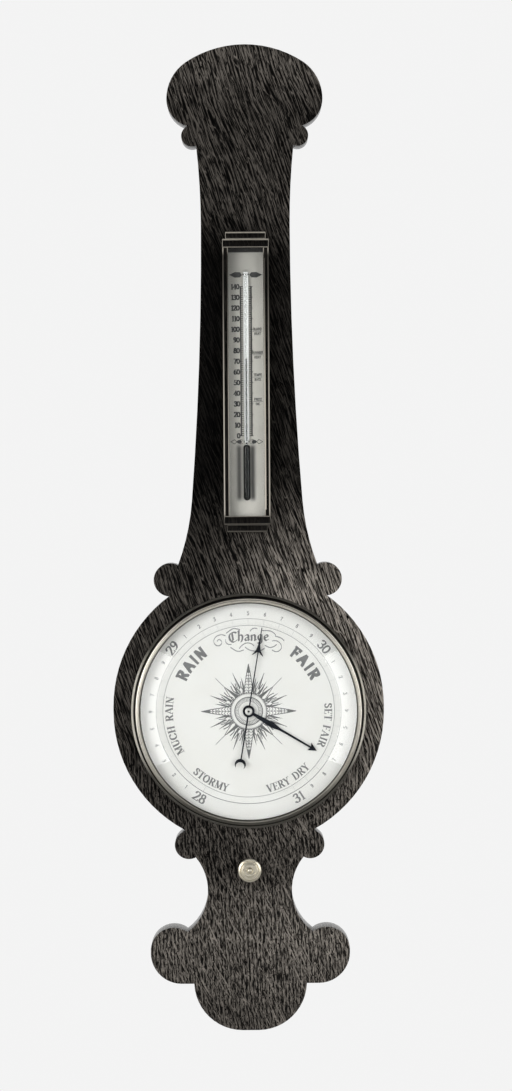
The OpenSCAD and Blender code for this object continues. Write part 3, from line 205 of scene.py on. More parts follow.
def bumped(tree, height, shader, strength, distance):
    bump = add(tree, "Bump", (-200, -300), None, {"Strength": strength, "Distance": distance})
    join(tree, height, bump.inputs["Height"])
    join(tree, bump.outputs["Normal"], shader.inputs["Normal"])


# How light the stain is, from the foot of the case to its crown; its dark stretch on the trunk beside the
# thermometer is painted shade
STAIN_TONE_AND_SHADE = [(0.02, 0.46), (0.1, 0.72), (0.145, 0.52), (0.165, 0.28), (0.19, 0.32), (0.44, 0.55),
              (0.51, 0.23), (0.56, 0.045), (0.78, 0.03), (0.84, 0.24), (0.93, 0.23), (0.98, 0.46)]
# How bright the painted highlights on the thermometer box's arrises are, from its foot to its top
ARRIS_HIGHLIGHT = [(0.06, 0.16), (0.09, 1.0), (0.45, 0.9), (0.8, 0.16), (0.905, 0.1), (0.92, 0.7)]
# How much lighter the right side is painted than the left, from foot to crown: painted light
RIGHT_SIDE_LIGHT = [(0.12, 0.15), (0.2, 0.4), (0.28, 1.0), (0.78, 1.0), (0.85, 0.0)]
# How dark the painted shade in the bezel's hollows is, from the first radius to the second
BEZEL_RADII = (0.0925, 0.1025)
BEZEL_SHADE = [(0.0, 0.3), (0.05, 0.8), (0.13, 0.8), (0.17, 0.0), (0.34, 0.0), (0.36, 0.4),
              (0.385, 0.4), (0.4, 0.0), (0.47, 0.0), (0.51, 0.985), (0.695, 0.985), (0.735, 0.0)]


# Oak: pale flecks and dark pores that follow a grain, slanting on the trunk and nearly upright on the tail,
# under a tone that holds painted light and shade
def oak_figure():
    tree, inside, outside = group(
        "oak_figure", {"Slant": 0.4, "Streak Width": 0.0011, "Streak Length": 0.0085},
        ["Fleck", "Pore", "Cloud", "Height", "Tone And Light"])
    lean_everywhere, wander_reach, ray_slope, depth_share = 0.06, 0.009, 0.48, 0.6
    ring_turns, ring_strength = 1900.0, 0.055
    fleck_gain, fleck_lift, fleck_middle = 0.85, 0.07, 0.52
    tail_squeeze, tail_calm = 1.6, 2.0
    tone_strength, right_lit_from, right_lit_to = 2.6, -0.04, 0.04
    where = add(tree, "TexCoord").outputs["Object"]
    x, y, z = axes_of(tree)
    trunk = maths(tree, "MAXIMUM", maths(tree, "SUBTRACT", z, SLANT_FOOT_Z), 0.0)
    tail = maths(tree, "MINIMUM", maths(tree, "SUBTRACT", z, TAIL_TOP_Z), 0.0)
    on_trunk = maths(tree, "MULTIPLY", trunk, inside.outputs["Slant"])
    lean = maths(tree, "ADD", on_trunk, maths(tree, "MULTIPLY", z, lean_everywhere))
    wander = noise(tree, where, Scale=14.0, Detail=1.0).outputs[0]
    drift = maths(tree, "MULTIPLY", maths(tree, "SUBTRACT", wander, 0.5), wander_reach)
    across = maths(tree, "ADD", x, lean, drift)
    rays = maths(tree, "ADD", x, maths(tree, "MULTIPLY", z, ray_slope), drift)
    depth = maths(tree, "MULTIPLY", y, depth_share)
    along = maths(tree, "ADD", z, maths(tree, "MULTIPLY", tail, tail_squeeze))

    def streaks(over, run, wider, longer, detail, offset):
        """Noise drawn out along the grain, by how much wider and longer it is than the flecks."""
        width = maths(tree, "MULTIPLY", inside.outputs["Streak Width"], wider)
        length = maths(tree, "MULTIPLY", inside.outputs["Streak Length"], longer)
        steps = [maths(tree, "DIVIDE", over, width), maths(tree, "DIVIDE", depth, width),
                 maths(tree, "ADD", maths(tree, "DIVIDE", run, length), offset)]
        spot = add(tree, "CombineXYZ")
        for step, socket in zip(steps, spot.inputs):
            join(tree, step, socket)
        return noise(tree, spot.outputs[0], Scale=1.0, Detail=detail, Roughness=0.55).outputs[0]

    fleck = streaks(across, along, 1.0, 1.0, 1.4, 0.0)
    vein = streaks(rays, z, 2.2, 1.5, 0.0, 5.7)
    pore = streaks(across, along, 0.75, 0.28, 1.0, 7.3)
    cloud = streaks(across, z, 10.0, 3.0, 2.0, 3.1)
    growth = maths(tree, "SINE", maths(tree, "MULTIPLY", across, ring_turns))
    growth = maths(tree, "MULTIPLY", growth, ring_strength)
    fleck = maths(tree, "ADD", maths(tree, "MULTIPLY", fleck, fleck_gain), fleck_lift, growth)
    calm = maths(tree, "ADD", maths(tree, "MULTIPLY", tail, tail_calm), 1.0)
    apart = maths(tree, "MULTIPLY", maths(tree, "SUBTRACT", fleck, fleck_middle), calm)
    fleck = maths(tree, "ADD", apart, fleck_middle)
    broad = ramp(tree, fleck, [(0.47, 0.0), (0.6, 0.8)])
    from_vein = maths(tree, "ABSOLUTE", maths(tree, "SUBTRACT", vein, 0.5))
    line = ramp(tree, from_vein, [(0.0, 1.0), (0.035, 0.0)])
    pore_mask = ramp(tree, pore, [(0.35, 1.0), (0.43, 0.0)])
    # Tone by height, whose dark stretch on the trunk is painted shade
    height = ranged(tree, z, CASE_FOOT_Z, CASE_TOP_Z)
    tone_and_shade = maths(tree, "MULTIPLY", ramp(tree, height, STAIN_TONE_AND_SHADE), tone_strength)
    # Painted light: the right side lighter than the left, by height
    right_lit = maths(tree, "SUBTRACT", ranged(tree, x, right_lit_from, right_lit_to, 0.5, 2.0, True), 1.0)
    side_light = maths(tree, "MULTIPLY", right_lit, ramp(tree, height, RIGHT_SIDE_LIGHT))
    results = {
        "Fleck": maths(tree, "MAXIMUM", broad, line), "Pore": pore_mask, "Cloud": cloud,
        "Height": maths(tree, "SUBTRACT", maths(tree, "MULTIPLY", fleck, 0.5), pore_mask),
        "Tone And Light": maths(tree, "MULTIPLY", tone_and_shade, maths(tree, "ADD", side_light, 1.0))}
    for label, value in results.items():
        join(tree, value, outside.inputs[label])
    return tree


# Handling marks: soft smears and specks that change gloss and tone a little
def handling_marks():
    tree, inside, outside = group("handling_marks", {"Scale": 60.0}, ["Smear", "Speck"])
    speck_finer = 14.0
    where = add(tree, "TexCoord").outputs["Object"]
    smear = noise(tree, where, Detail=4.0, Roughness=0.6, Distortion=0.6)
    speck = noise(tree, where, Detail=2.0)
    join(tree, inside.outputs["Scale"], smear.inputs["Scale"])
    join(tree, maths(tree, "MULTIPLY", inside.outputs["Scale"], speck_finer), speck.inputs["Scale"])
    join(tree, ramp(tree, smear.outputs[0], [(0.35, 0.0), (0.7, 1.0)]), outside.inputs["Smear"])
    join(tree, ramp(tree, speck.outputs[0], [(0.62, 0.0), (0.75, 1.0)]), outside.inputs["Speck"])
    return tree


# Lathe marks: fine rings round an axis that points at the wall
def turned_rings():
    tree, inside, outside = group(
        "turned_rings", {"Axis Height": DIAL_Z, "Pitch": 0.0006}, ["Line", "Radius", "Up"])
    x, y, z = axes_of(tree)
    up = maths(tree, "SUBTRACT", z, inside.outputs["Axis Height"])
    squares = [maths(tree, "POWER", side, 2.0) for side in (x, up)]
    radius = maths(tree, "SQRT", maths(tree, "ADD", *squares))
    spot = add(tree, "CombineXYZ")
    join(tree, maths(tree, "DIVIDE", radius, inside.outputs["Pitch"]), spot.inputs[0])
    join(tree, maths(tree, "DIVIDE", y, inside.outputs["Pitch"]), spot.inputs[1])
    line = noise(tree, spot.outputs[0], Scale=1.0, Detail=2.0).outputs[0]
    for label, value in (("Line", line), ("Radius", radius), ("Up", up)):
        join(tree, value, outside.inputs[label])
    return tree


OAK = oak_figure()
MARKS = handling_marks()
RINGS = turned_rings()


def tinted(tree, mask, low, high, at=(-300, 100)):
    """From one tone to another as a mask goes from 0 to 1."""
    node = add(tree, "Mix", at, {"data_type": "RGBA"})
    join(tree, mask, node.inputs[0])
    for socket, tone in ((node.inputs[6], low), (node.inputs[7], high)):
        if isinstance(tone, tuple):
            socket.default_value = (*tone, 1)
        else:
            join(tree, tone, socket)
    return node.outputs[2]


def gloss(tree, mask, low, high, shader):
    join(tree, ranged(tree, mask, 0.0, 1.0, low, high), shader.inputs["Roughness"])


def deeper(tone, share):
    return tuple(share * part for part in tone)


def scaled(tree, colour, by):
    node = add(tree, "VectorMath", (-200, 200), {"operation": "SCALE"})
    join(tree, colour, node.inputs[0])
    join(tree, by, node.inputs["Scale"])
    return node.outputs[0]


def rubbed_arrises(tree, facing):
    """Painted highlights on the thermometer's box, at its arrises and along the right rail's inner edge."""
    inner_edge, edge_reach = 0.0159, 0.0006
    rail_middle, rail_reach = 0.495, 0.4
    flat = maths(tree, "MAXIMUM", *[maths(tree, "ABSOLUTE", side) for side in facing])
    rounded = ramp(tree, flat, [(0.86, 1.0), (0.985, 0.0)], (-500, -800))
    x, _, z = axes_of(tree, "Object", (-900, -1000))
    level = ranged(tree, z, BOX_FOOT_Z, BOX_TOP_Z)
    on_edge = close_to(tree, x, inner_edge, edge_reach)
    on_rail = close_to(tree, level, rail_middle, rail_reach)
    highlighted = maths(tree, "MAXIMUM", rounded, maths(tree, "MULTIPLY", on_edge, on_rail))
    return maths(tree, "MULTIPLY", highlighted, ramp(tree, level, ARRIS_HIGHLIGHT, (-300, -1000)))


def stained_oak(name, dark, mid, pale, slant, width, length, rough, polish=0.0, arris=None):
    made, tree, shader = finish_named(name, Specular_IOR_Level=0.03, Coat_Roughness=0.27, Coat_IOR=1.45)
    figure = use(tree, OAK, Slant=slant, Streak_Width=width, Streak_Length=length).outputs
    marks = use(tree, MARKS, (-600, -300), Scale=24.0).outputs
    # The figure's tone, with its painted light and shade, scales the ground
    ground = scaled(tree, tinted(tree, figure["Cloud"], dark, mid), figure["Tone And Light"])
    flecked = tinted(tree, figure["Fleck"], ground, pale)
    pored = tinted(tree, figure["Pore"], flecked, deeper(dark, 0.35))
    gloss(tree, marks["Smear"], rough - 0.08, rough + 0.1, shader)
    bumped(tree, figure["Height"], shader, 0.35, 0.0003)
    facing = axes_of(tree, "Normal", (-900, -600))
    # An arris colour paints highlights on the rounded edges
    if arris:
        stained = tinted(tree, rubbed_arrises(tree, facing), pored, arris)
    else:
        # Without arris highlights, the tone with its painted light and shade is laid on once more
        stained = scaled(tree, pored, figure["Tone And Light"])
    join(tree, stained, shader.inputs["Base Color"])
    side = ramp(tree, maths(tree, "ABSOLUTE", facing[1]), [(0.05, 1.0), (0.4, polish)], (-500, -600))
    join(tree, side, shader.inputs["Coat Weight"])
    return made


def metal(name, tone, dull, rough, spread, scale=60.0):
    made, tree, shader = finish_named(name, Metallic=1.0)
    marks = use(tree, MARKS, Scale=scale).outputs
    base = tinted(tree, marks["Smear"], tone, dull)
    join(tree, tinted(tree, marks["Speck"], base, deeper(dull, 0.6)), shader.inputs["Base Color"])
    gloss(tree, marks["Smear"], rough, rough + spread, shader)
    return made


def bezel_tarnish(tree, rings):
    """Painted shade: dark hollows, a darker lower part, and a flange painted dark above and below its bright
    sides.
    """
    def dulled(height, start, end, amount, inner, outer):
        reach = ranged(tree, height, start, end, 0.0, amount)
        return maths(tree, "MULTIPLY", reach, ranged(tree, rings["Radius"], inner, outer))

    slope, flange = (0.0938, 0.0952), (0.0990, 0.0996)
    hollow_shade = ramp(tree, ranged(tree, rings["Radius"], *BEZEL_RADII), BEZEL_SHADE, (-300, 400))
    at_foot = dulled(rings["Up"], -0.03, -0.08, 0.84, *slope)
    from_axis = maths(tree, "ABSOLUTE", rings["Up"])
    at_flange = dulled(from_axis, 0.028, 0.055, 0.88, *flange)
    return maths(tree, "MAXIMUM", hollow_shade, at_foot, at_flange)


def turned_metal(name, tone, dull, rough, spread, axis_height, painted_shade=None):
    made, tree, shader = finish_named(name, Metallic=1.0)
    marks = use(tree, MARKS, Scale=90.0).outputs
    rings = use(tree, RINGS, (-600, -300), Axis_Height=axis_height).outputs
    base = tinted(tree, marks["Smear"], tone, dull)
    finish = tinted(tree, marks["Speck"], base, deeper(dull, 0.65))
    # Painted shade, where given, darkens the metal
    if painted_shade:
        finish = tinted(tree, painted_shade(tree, rings), finish, (0.012, 0.011, 0.009))
    join(tree, finish, shader.inputs["Base Color"])
    gloss(tree, rings["Line"], rough, rough + spread, shader)
    bumped(tree, rings["Line"], shader, 0.06, 0.00003)
    return made


def painted(name, tone, worn, rough, spread, scale, shade_map=None):
    made, tree, shader = finish_named(name)
    marks = use(tree, MARKS, Scale=scale).outputs
    coat = tinted(tree, marks["Smear"], tone, worn)
    # A given map of painted shade darkens the coat
    if shade_map:
        coat = scaled(tree, coat, shade_map(tree))
    join(tree, coat, shader.inputs["Base Color"])
    gloss(tree, marks["Smear"], rough, rough + spread, shader)
    bumped(tree, marks["Speck"], shader, 0.05, 0.00005)
    return made


def ink(name, tone, worn):
    return painted(name, tone, worn, 0.5, 0.15, 160.0)


def scale_patina(tree):
    """Painted shade on a sheet: darker at the left, towards and just under the top moulding, and beside the
    bulb.
    """
    def shade(*range_ends):
        return ranged(tree, *range_ends, True)

    x, _, z = axes_of(tree)
    # Painted shade, darker at the left where the left rail shades the plate
    across = shade(x, -0.016, 0.016, 0.74, 1.0)
    # Painted shade towards the top moulding, and a painted shadow just under it
    under_top = shade(z, -0.22, -0.139, 1.0, 0.62)
    in_shadow = shade(z, -0.1434, -0.1424, 1.0, 0.03)
    # Painted shadow of the bulb, in bands on both sides of it
    aside = maths(tree, "ABSOLUTE", maths(tree, "ADD", x, 0.0008))
    outside = shade(aside, 0.006, 0.0098, 0.85, 0.0)
    inside = shade(aside, 0.0034, 0.0054, 0.45, 1.0)
    beside = maths(tree, "MULTIPLY", outside, inside)
    over_foot = shade(z, -0.359, -0.353, 0.0, 1.0)
    under_bulb_top = shade(z, -0.312, -0.306, 1.0, 0.0)
    at_bulb = maths(tree, "MULTIPLY", over_foot, under_bulb_top)
    bulb_shadow = maths(tree, "SUBTRACT", 1.0, maths(tree, "MULTIPLY", beside, at_bulb))
    return maths(tree, "MULTIPLY", across, maths(tree, "MULTIPLY", under_top, in_shadow), bulb_shadow)


def clear_glass(name, dark_below=None):
    """Clear glass that lets the lamps through to what lies behind it."""
    clear, dark = (0.97, 0.985, 0.98), (0.004, 0.004, 0.005)
    made, tree, shader = finish_named(name, Base_Color=(*clear, 1), Transmission_Weight=1.0, IOR=1.5)
    marks = use(tree, MARKS, Scale=45.0).outputs
    if dark_below:
        stem = maths(tree, "GREATER_THAN", axes_of(tree)[2], dark_below)
        join(tree, tinted(tree, stem, dark, clear), shader.inputs["Base Color"])
    gloss(tree, marks["Smear"], 0.0, 0.02, shader)
    rays = add(tree, "LightPath", (0, 300))
    through = add(tree, "BsdfTransparent", (0, -500))
    mixed_surface(tree, rays.outputs["Is Shadow Ray"], shader.outputs[0], through.outputs[0])
    return made


case_oak = stained_oak(
    "dark_oak", (0.0012, 0.0011, 0.001), (0.007, 0.0063, 0.0056), (0.22, 0.198, 0.174),
    slant=0.26, width=0.00092, length=0.018, rough=0.55)
# The box's pale arris colour is a painted highlight
box_oak = stained_oak(
    "ebonised_wood", (0.002, 0.0017, 0.0015), (0.005, 0.0042, 0.0036), (0.02, 0.017, 0.014),
    slant=0.0, width=0.0007, length=0.012, rough=0.4, polish=0.12, arris=(0.8, 0.74, 0.64))
# The bezel's brass carries painted shade
bezel_brass = turned_metal(
    "bezel_brass", (0.93, 0.89, 0.79), (0.84, 0.79, 0.67), 0.26, 0.1, DIAL_Z, bezel_tarnish)
knob_brass = turned_metal("knob_brass", (0.87, 0.82, 0.69), (0.76, 0.69, 0.54), 0.24, 0.16, KNOB_Z)
movement_brass = metal("movement_brass", (0.76, 0.61, 0.33), (0.58, 0.44, 0.22), 0.24, 0.14)
bright_steel = metal("bright_steel", (0.6, 0.6, 0.59), (0.42, 0.42, 0.41), 0.2, 0.18)
spring_blue = metal("tempered_steel", (0.4, 0.42, 0.46), (0.3, 0.3, 0.31), 0.24, 0.16)
hand_blue = metal("blued_steel", (0.03, 0.034, 0.045), (0.02, 0.021, 0.026), 0.28, 0.14, 140.0)
capsule_nickel = turned_metal("nickel_silver", (0.66, 0.64, 0.58), (0.5, 0.48, 0.43), 0.26, 0.16, CAPSULE_Z)
collet_bright = metal("polished_collet", (0.92, 0.91, 0.88), (0.8, 0.79, 0.76), 0.38, 0.12, 200.0)
mercury_bright = metal("mercury_column", (0.2, 0.205, 0.215), (0.16, 0.165, 0.175), 0.06, 0.03)
stoved_iron = painted("stoved_iron", (0.02, 0.02, 0.019), (0.045, 0.042, 0.038), 0.45, 0.2, 80.0)
black_japan = painted("black_japan", (0.012, 0.012, 0.012), (0.03, 0.029, 0.027), 0.3, 0.2, 30.0)
dial_enamel = painted("dial_enamel", (0.88, 0.87, 0.845), (0.85, 0.835, 0.8), 0.42, 0.12, 22.0)
# The ivorine scale carries painted shade
scale_ivorine = painted(
    "scale_ivorine", (0.72, 0.695, 0.635), (0.66, 0.63, 0.57), 0.4, 0.14, 40.0, scale_patina)
tube_white = painted("tube_enamel", (0.82, 0.82, 0.81), (0.78, 0.78, 0.77), 0.3, 0.1, 60.0)
print_ink = ink("print_ink", (0.018, 0.018, 0.019), (0.05, 0.05, 0.05))
faded_ink = ink("faded_ink", (0.16, 0.16, 0.162), (0.21, 0.21, 0.21))
pale_ink = ink("pale_ink", (0.55, 0.55, 0.54), (0.62, 0.62, 0.61))
scroll_ink = ink("scroll_ink", (0.25, 0.25, 0.252), (0.33, 0.33, 0.33))
fine_ink = ink("fine_ink", (0.11, 0.11, 0.112), (0.19, 0.19, 0.19))
rose_ink = ink("rose_ink", (0.12, 0.12, 0.122), (0.17, 0.17, 0.17))
glass = clear_glass("clear_glass")
tube_glass = clear_glass("tube_glass", (BULB_DARK_TOP - HANG_H) / 1000)

SLOT_FINISH = {
    "oak": case_oak, "box_wood": box_oak, "bezel_brass": bezel_brass, "brass": movement_brass,
    "japanned": black_japan, "dial_white": dial_enamel, "blued_steel": hand_blue, "steel": bright_steel,
    "spring_steel": spring_blue, "bridge_iron": stoved_iron, "capsule_metal": capsule_nickel,
    "collet_silver": collet_bright, "clear_glass": glass, "scale_ivory": scale_ivorine,
    "mercury": mercury_bright}
NODE_FINISH = {
    "knob": knob_brass, "knob_bush": knob_brass, "arbor": hand_blue, "thermometer_tube": tube_glass,
    "tube_ties": bright_steel}


def dress(obj, material):
    obj.data.materials.clear()
    obj.data.materials.append(material)


slot_of = {part["node"]: part["material_slot"] for part in frame["record"]["subparts"]}
for name, obj in frame["nodes"].items():
    dress(obj, NODE_FINISH.get(name, SLOT_FINISH[slot_of[name]]))


# Pieces modelled here
def only(obj):
    bpy.ops.object.select_all(action="DESELECT")
    obj.select_set(True)
    bpy.context.view_layer.objects.active = obj


def settle(obj, body, material):
    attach(obj, body)
    dress(obj, material)


def smooth_edges(obj, degrees=35):
    only(obj)
    bpy.ops.object.shade_smooth_by_angle(angle=math.radians(degrees))


def cleaned_copy(node, name):
    """A copy of a CAD node with its split corners merged and its flat faces whole."""
    piece = bpy.data.objects.new(name, frame["nodes"][node].data.copy())
    bpy.context.collection.objects.link(piece)
    only(piece)
    bpy.ops.object.mode_set(mode="EDIT")
    bpy.ops.mesh.select_all(action="SELECT")
    bpy.ops.mesh.remove_doubles(threshold=0.00001)
    bpy.ops.mesh.dissolve_limited(angle_limit=math.radians(0.5), delimit={"NORMAL"})
    bpy.ops.object.mode_set(mode="OBJECT")
    return piece


def rounded_arrises(piece, width, method):
    bevel = piece.modifiers.new("arris", "BEVEL")
    bevel.limit_method = method
    bevel.angle_limit = math.radians(30)
    bevel.width = width
    bevel.segments = 3
    bpy.ops.object.modifier_apply(modifier="arris")
    smooth_edges(piece, 40)


# The case with its front arris eased, but not the edges of its holes
def eased_case():
    case = cleaned_copy("case_board", "case_oak")
    front, flat_reach = -BOARD_FACE / 1000, 1e-5
    dial_hole, knob_hole, screw_hole = 0.1, 0.008, 0.004
    sharp_turn = 0.7
    work = bmesh.new()
    work.from_mesh(case.data)
    weight = work.edges.layers.float.new("bevel_weight_edge")
    for edge in work.edges:
        a, b = (v.co for v in edge.verts)
        centre = (a + b) / 2
        at_front = abs(a.y - front) < flat_reach and abs(b.y - front) < flat_reach
        by_dial = math.hypot(centre.x, centre.z - DIAL_Z) < dial_hole
        by_knob = math.hypot(centre.x, centre.z - KNOB_Z) < knob_hole
        by_screw = abs(centre.x) < screw_hole and BOX_FOOT_Z < centre.z < BOX_TOP_Z
        outer = not (by_dial or by_knob or by_screw)
        if at_front and outer and edge.is_manifold and edge.calc_face_angle(0) > sharp_turn:
            edge[weight] = 1.0
    work.to_mesh(case.data)
    work.free()
    rounded_arrises(case, 0.0015, "WEIGHT")
    settle(case, "case", case_oak)
    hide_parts("case_board")


# Box members of the thermometer with rounded arrises
def rounded_member(node, name):
    member = cleaned_copy(node, name)
    rounded_arrises(member, 0.0006, "ANGLE")
    settle(member, "case", box_oak)
    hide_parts(node)


# The mainspring and the capsule, copied and sliced across at even steps; the real ones bend and swell as the
# lever rocks
def flexing(node, name, material, start, end, cuts):
    piece = cleaned_copy(node, name)
    bpy.ops.object.mode_set(mode="EDIT")
    for cut in range(cuts):
        bpy.ops.mesh.select_all(action="SELECT")
        bpy.ops.mesh.bisect(plane_co=start.lerp(end, cut / (cuts - 1)), plane_no=(end - start).normalized())
    bpy.ops.object.mode_set(mode="OBJECT")
    smooth_edges(piece)
    dress(piece, material)
    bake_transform(piece)
    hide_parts(node)


# Print: each letter has its width and its strokes, in hundredths of its height, for a flat nib
# Strokes: l line, t thin line, c curve, o oval by its middle and half sizes, s serif
GLYPHS = {
    "0": (60, "o 30,50 23,46"),
    "1": (44, "l 24,0 24,98 / t 8,82 24,98 / s 24,0"),
    "2": (58, "c 9,74 14,90 30,98 46,90 49,72 38,48 20,22 6,3 / l 6,3 52,3 / t 52,3 54,18"),
    "3": (56, "c 8,80 24,97 42,90 44,70 36,56 22,53 / c 22,53 42,48 49,26 38,6 20,2 5,18"),
    "4": (60, "l 42,0 42,98 / t 42,98 3,28 / l 3,28 56,28 / s 42,0"),
    "5": (56, "l 48,96 16,96 / t 16,96 12,56 / c 12,56 30,62 46,50 49,28 38,7 20,2 5,17"),
    "6": (58, "c 46,92 26,84 11,56 9,28 20,6 32,2 46,14 49,32 40,52 26,56 10,36"),
    "7": (54, "t 5,80 7,96 / l 7,96 50,96 / c 50,96 34,62 25,30 23,0"),
    "8": (58, "o 29,75 17,22 / o 29,27 21,26"),
    "9": (58, "c 12,8 32,16 47,44 49,72 38,94 26,98 12,86 9,68 18,48 32,44 48,64"),
    "A": (74, "t 5,0 36,100 / l 36,100 69,0 / l 16,34 57,34 / s 5,0 / s 69,0"),
    "B": (66, "l 16,0 16,100 / c 8,100 36,100 52,90 53,76 44,58 16,53 / c 16,53 46,50 58,28 48,4 36,0 8,0"),
    "C": (72, "c 64,80 50,95 36,99 16,86 6,50 16,14 38,1 54,7 66,24 / t 64,70 64,94"),
    "D": (78, "l 16,0 16,100 / c 8,100 40,99 64,80 69,50 64,20 40,1 8,0"),
    "E": (64, "l 16,0 16,100 / l 6,100 56,100 / l 16,52 44,52 / l 6,0 58,0 / "
              "t 56,100 56,80 / t 58,0 60,22 / t 44,44 44,60"),
    "F": (60, "l 16,0 16,100 / l 10,100 54,100 / l 16,52 44,52 / t 54,100 54,84 / t 44,44 44,58 / s 16,0"),
    "G": (78, "c 64,80 50,95 36,99 16,86 6,50 16,14 38,1 54,6 64,16 / l 64,6 64,42 / s 64,42"),
    "H": (80, "l 16,0 16,100 / l 64,0 64,100 / l 16,52 64,52 / s 16,0 / s 16,100 / s 64,0 / s 64,100"),
    "I": (34, "l 17,0 17,100 / s 17,0 / s 17,100"),
    "L": (60, "l 16,0 16,100 / l 6,0 56,0 / t 56,0 58,24 / s 16,100"),
    "M": (94, "t 14,0 14,100 / l 14,100 47,6 / t 47,6 80,100 / l 80,100 80,0 / "
              "s 14,0 / s 14,100 / s 80,0 / s 80,100"),
    "N": (78, "t 14,0 14,100 / l 14,100 64,0 / t 64,0 64,100 / s 14,0 / s 12,100 / s 64,100"),
    "O": (78, "o 39,50 32,49"),
    "P": (64, "l 16,0 16,100 / c 8,100 38,100 54,90 57,72 48,52 34,46 16,46 / s 16,0"),
    "R": (72, "l 16,0 16,100 / c 10,100 36,100 54,92 57,76 48,58 32,52 16,52 / l 36,52 62,2 / "
              "s 16,0 / s 64,0"),
    "S": (58, "c 48,80 38,96 24,98 11,86 12,68 26,56 40,46 49,30 42,8 26,1 8,18 / t 8,30 8,6 / "
              "t 48,70 48,94"),
    "T": (66, "l 33,0 33,100 / l 4,100 62,100 / t 4,100 4,82 / t 62,100 62,82 / s 33,0"),
    "U": (76, "c 16,100 16,66 16,34 24,9 40,1 54,8 62,34 / t 62,34 62,100 / s 16,100 / s 62,100"),
    "V": (70, "l 6,100 35,0 / t 35,0 64,100 / s 6,100 / s 64,100"),
    "Y": (68, "l 5,100 34,46 / t 34,46 62,100 / l 34,46 34,0 / s 34,0 / s 5,100 / s 62,100"),
    "Z": (64, "l 8,100 58,100 / l 58,100 6,0 / l 6,0 60,0 / t 8,100 8,82 / t 60,0 60,20"),
    "Ch": (80, "c 72,82 58,90 44,88 26,80 14,58 13,36 20,10 34,-6 50,-12 66,-4 78,8 / l 36,76 46,6"),
    "h": (56, "l 13,108 13,2 / c 13,46 28,62 43,52 45,34 42,10 34,-10 / l 6,100 13,108"),
    "a": (52, "c 9,52 24,63 38,54 39,4 / c 39,34 22,34 10,18 18,4 39,14 / l 39,4 48,9"),
    "n": (58, "l 12,60 12,2 / c 12,46 28,62 41,52 41,3 / l 41,3 50,9 / l 4,52 12,60"),
    "g": (52, "c 39,56 24,63 10,46 12,18 26,4 39,14 / c 39,60 39,0 35,-22 20,-30 7,-20"),
    "e": (46, "c 12,30 38,40 35,56 24,61 10,44 12,16 26,3 42,14"),
    " ": (44, ""),
}


def flowing(points, steps=5):
    """Points along a smooth line through the given ones."""
    ends = [points[0]] + list(points) + [points[-1]]

    def between(a, b, c, d, t):
        square, cube = 2 * a - 5 * b + 4 * c - d, 3 * b - a - 3 * c + d
        return 0.5 * (2 * b + (c - a) * t + square * t * t + cube * t ** 3)

    path = []
    for four in zip(ends, ends[1:], ends[2:], ends[3:]):
        for i in range(steps):
            path.append(tuple(between(*values, i / steps) for values in zip(*four)))
    return path + [tuple(points[-1])]


def round_hull(points):
    """The outline round a few points, counter-clockwise."""
    points = sorted(set((round(x, 5), round(y, 5)) for x, y in points))

    def turn(a, b, c):
        return (b[0] - a[0]) * (c[1] - a[1]) - (b[1] - a[1]) * (c[0] - a[0])

    def half(row):
        chain = []
        for p in row:
            while len(chain) > 1 and turn(chain[-2], chain[-1], p) <= 0:
                chain.pop()
            chain.append(p)
        return chain[:-1]

    return half(points) + half(points[::-1])


def nib(width, height, turn=0.0):
    c, s = math.cos(math.radians(turn)), math.sin(math.radians(turn))
    x, y = width / 2, height / 2
    return [(u * c - v * s, u * s + v * c) for u, v in ((-x, -y), (x, -y), (x, y), (-x, y))]


def drawn(path, tip):
    """Flat faces that a nib covers along a path."""
    pairs = zip(path, path[1:])
    return [round_hull([(p[0] + dx, p[1] + dy) for p in pair for dx, dy in tip]) for pair in pairs]


def ellipse(cx, cy, rx, ry, steps=20):
    turns = [2 * math.pi * i / steps for i in range(steps + 1)]
    return [(cx + rx * math.cos(a), cy + ry * math.sin(a)) for a in turns]


def glyph(letter, style):
    """A letter's faces at a height of 1."""
    broad, fine, serif = style
    faces = []
    for stroke in filter(None, GLYPHS[letter][1].split(" / ")):
        kind, *pairs = stroke.split()
        points = [tuple(float(v) / 100 for v in pair.split(",")) for pair in pairs]
        if kind == "s":
            x, y = points[0]
            faces += drawn([(x - serif, y), (x + serif, y)], fine) if serif else []
        elif kind == "o":
            faces += drawn(ellipse(*points[0], *points[1]), broad)
        elif kind == "c":
            faces += drawn(flowing(points), broad)
        else:
            faces += drawn(points, fine if kind == "t" else broad)
    return faces


# Styles: the nib of broad strokes, the nib of thin ones and the reach of serifs
ROMAN = (nib(0.2, 0.06), nib(0.07, 0.06), 0.14)
BOLD = (nib(0.25, 0.2), nib(0.25, 0.2), 0.0)
FIGURES = (nib(0.16, 0.07), nib(0.07, 0.06), 0.12)
HEAVY = (nib(0.26, 0.12), nib(0.13, 0.12), 0.13)
SMALL = (nib(0.15, 0.11), nib(0.11, 0.1), 0.0)
NOTE = (nib(0.22, 0.16), nib(0.16, 0.15), 0.0)
BLACK = (nib(0.17, 0.05, 40), nib(0.17, 0.05, 40), 0.0)


def written(letters, size, style, lay, spread=0.0, stretch=1.0):
    """A word's faces, centred, with lay() putting its own u and v on the sheet."""
    steps = [GLYPHS[k][0] / 100 * size * stretch + spread for k in letters]
    u = -(sum(steps) - spread) / 2
    faces = []
    for letter, step in zip(letters, steps):
        for face in glyph(letter, style):
            faces.append([lay(u + x * size * stretch, y * size) for x, y in face])
        u += step
    return faces


def straight(cx, cy):
    return lambda u, v: (cx + u, cy + v)


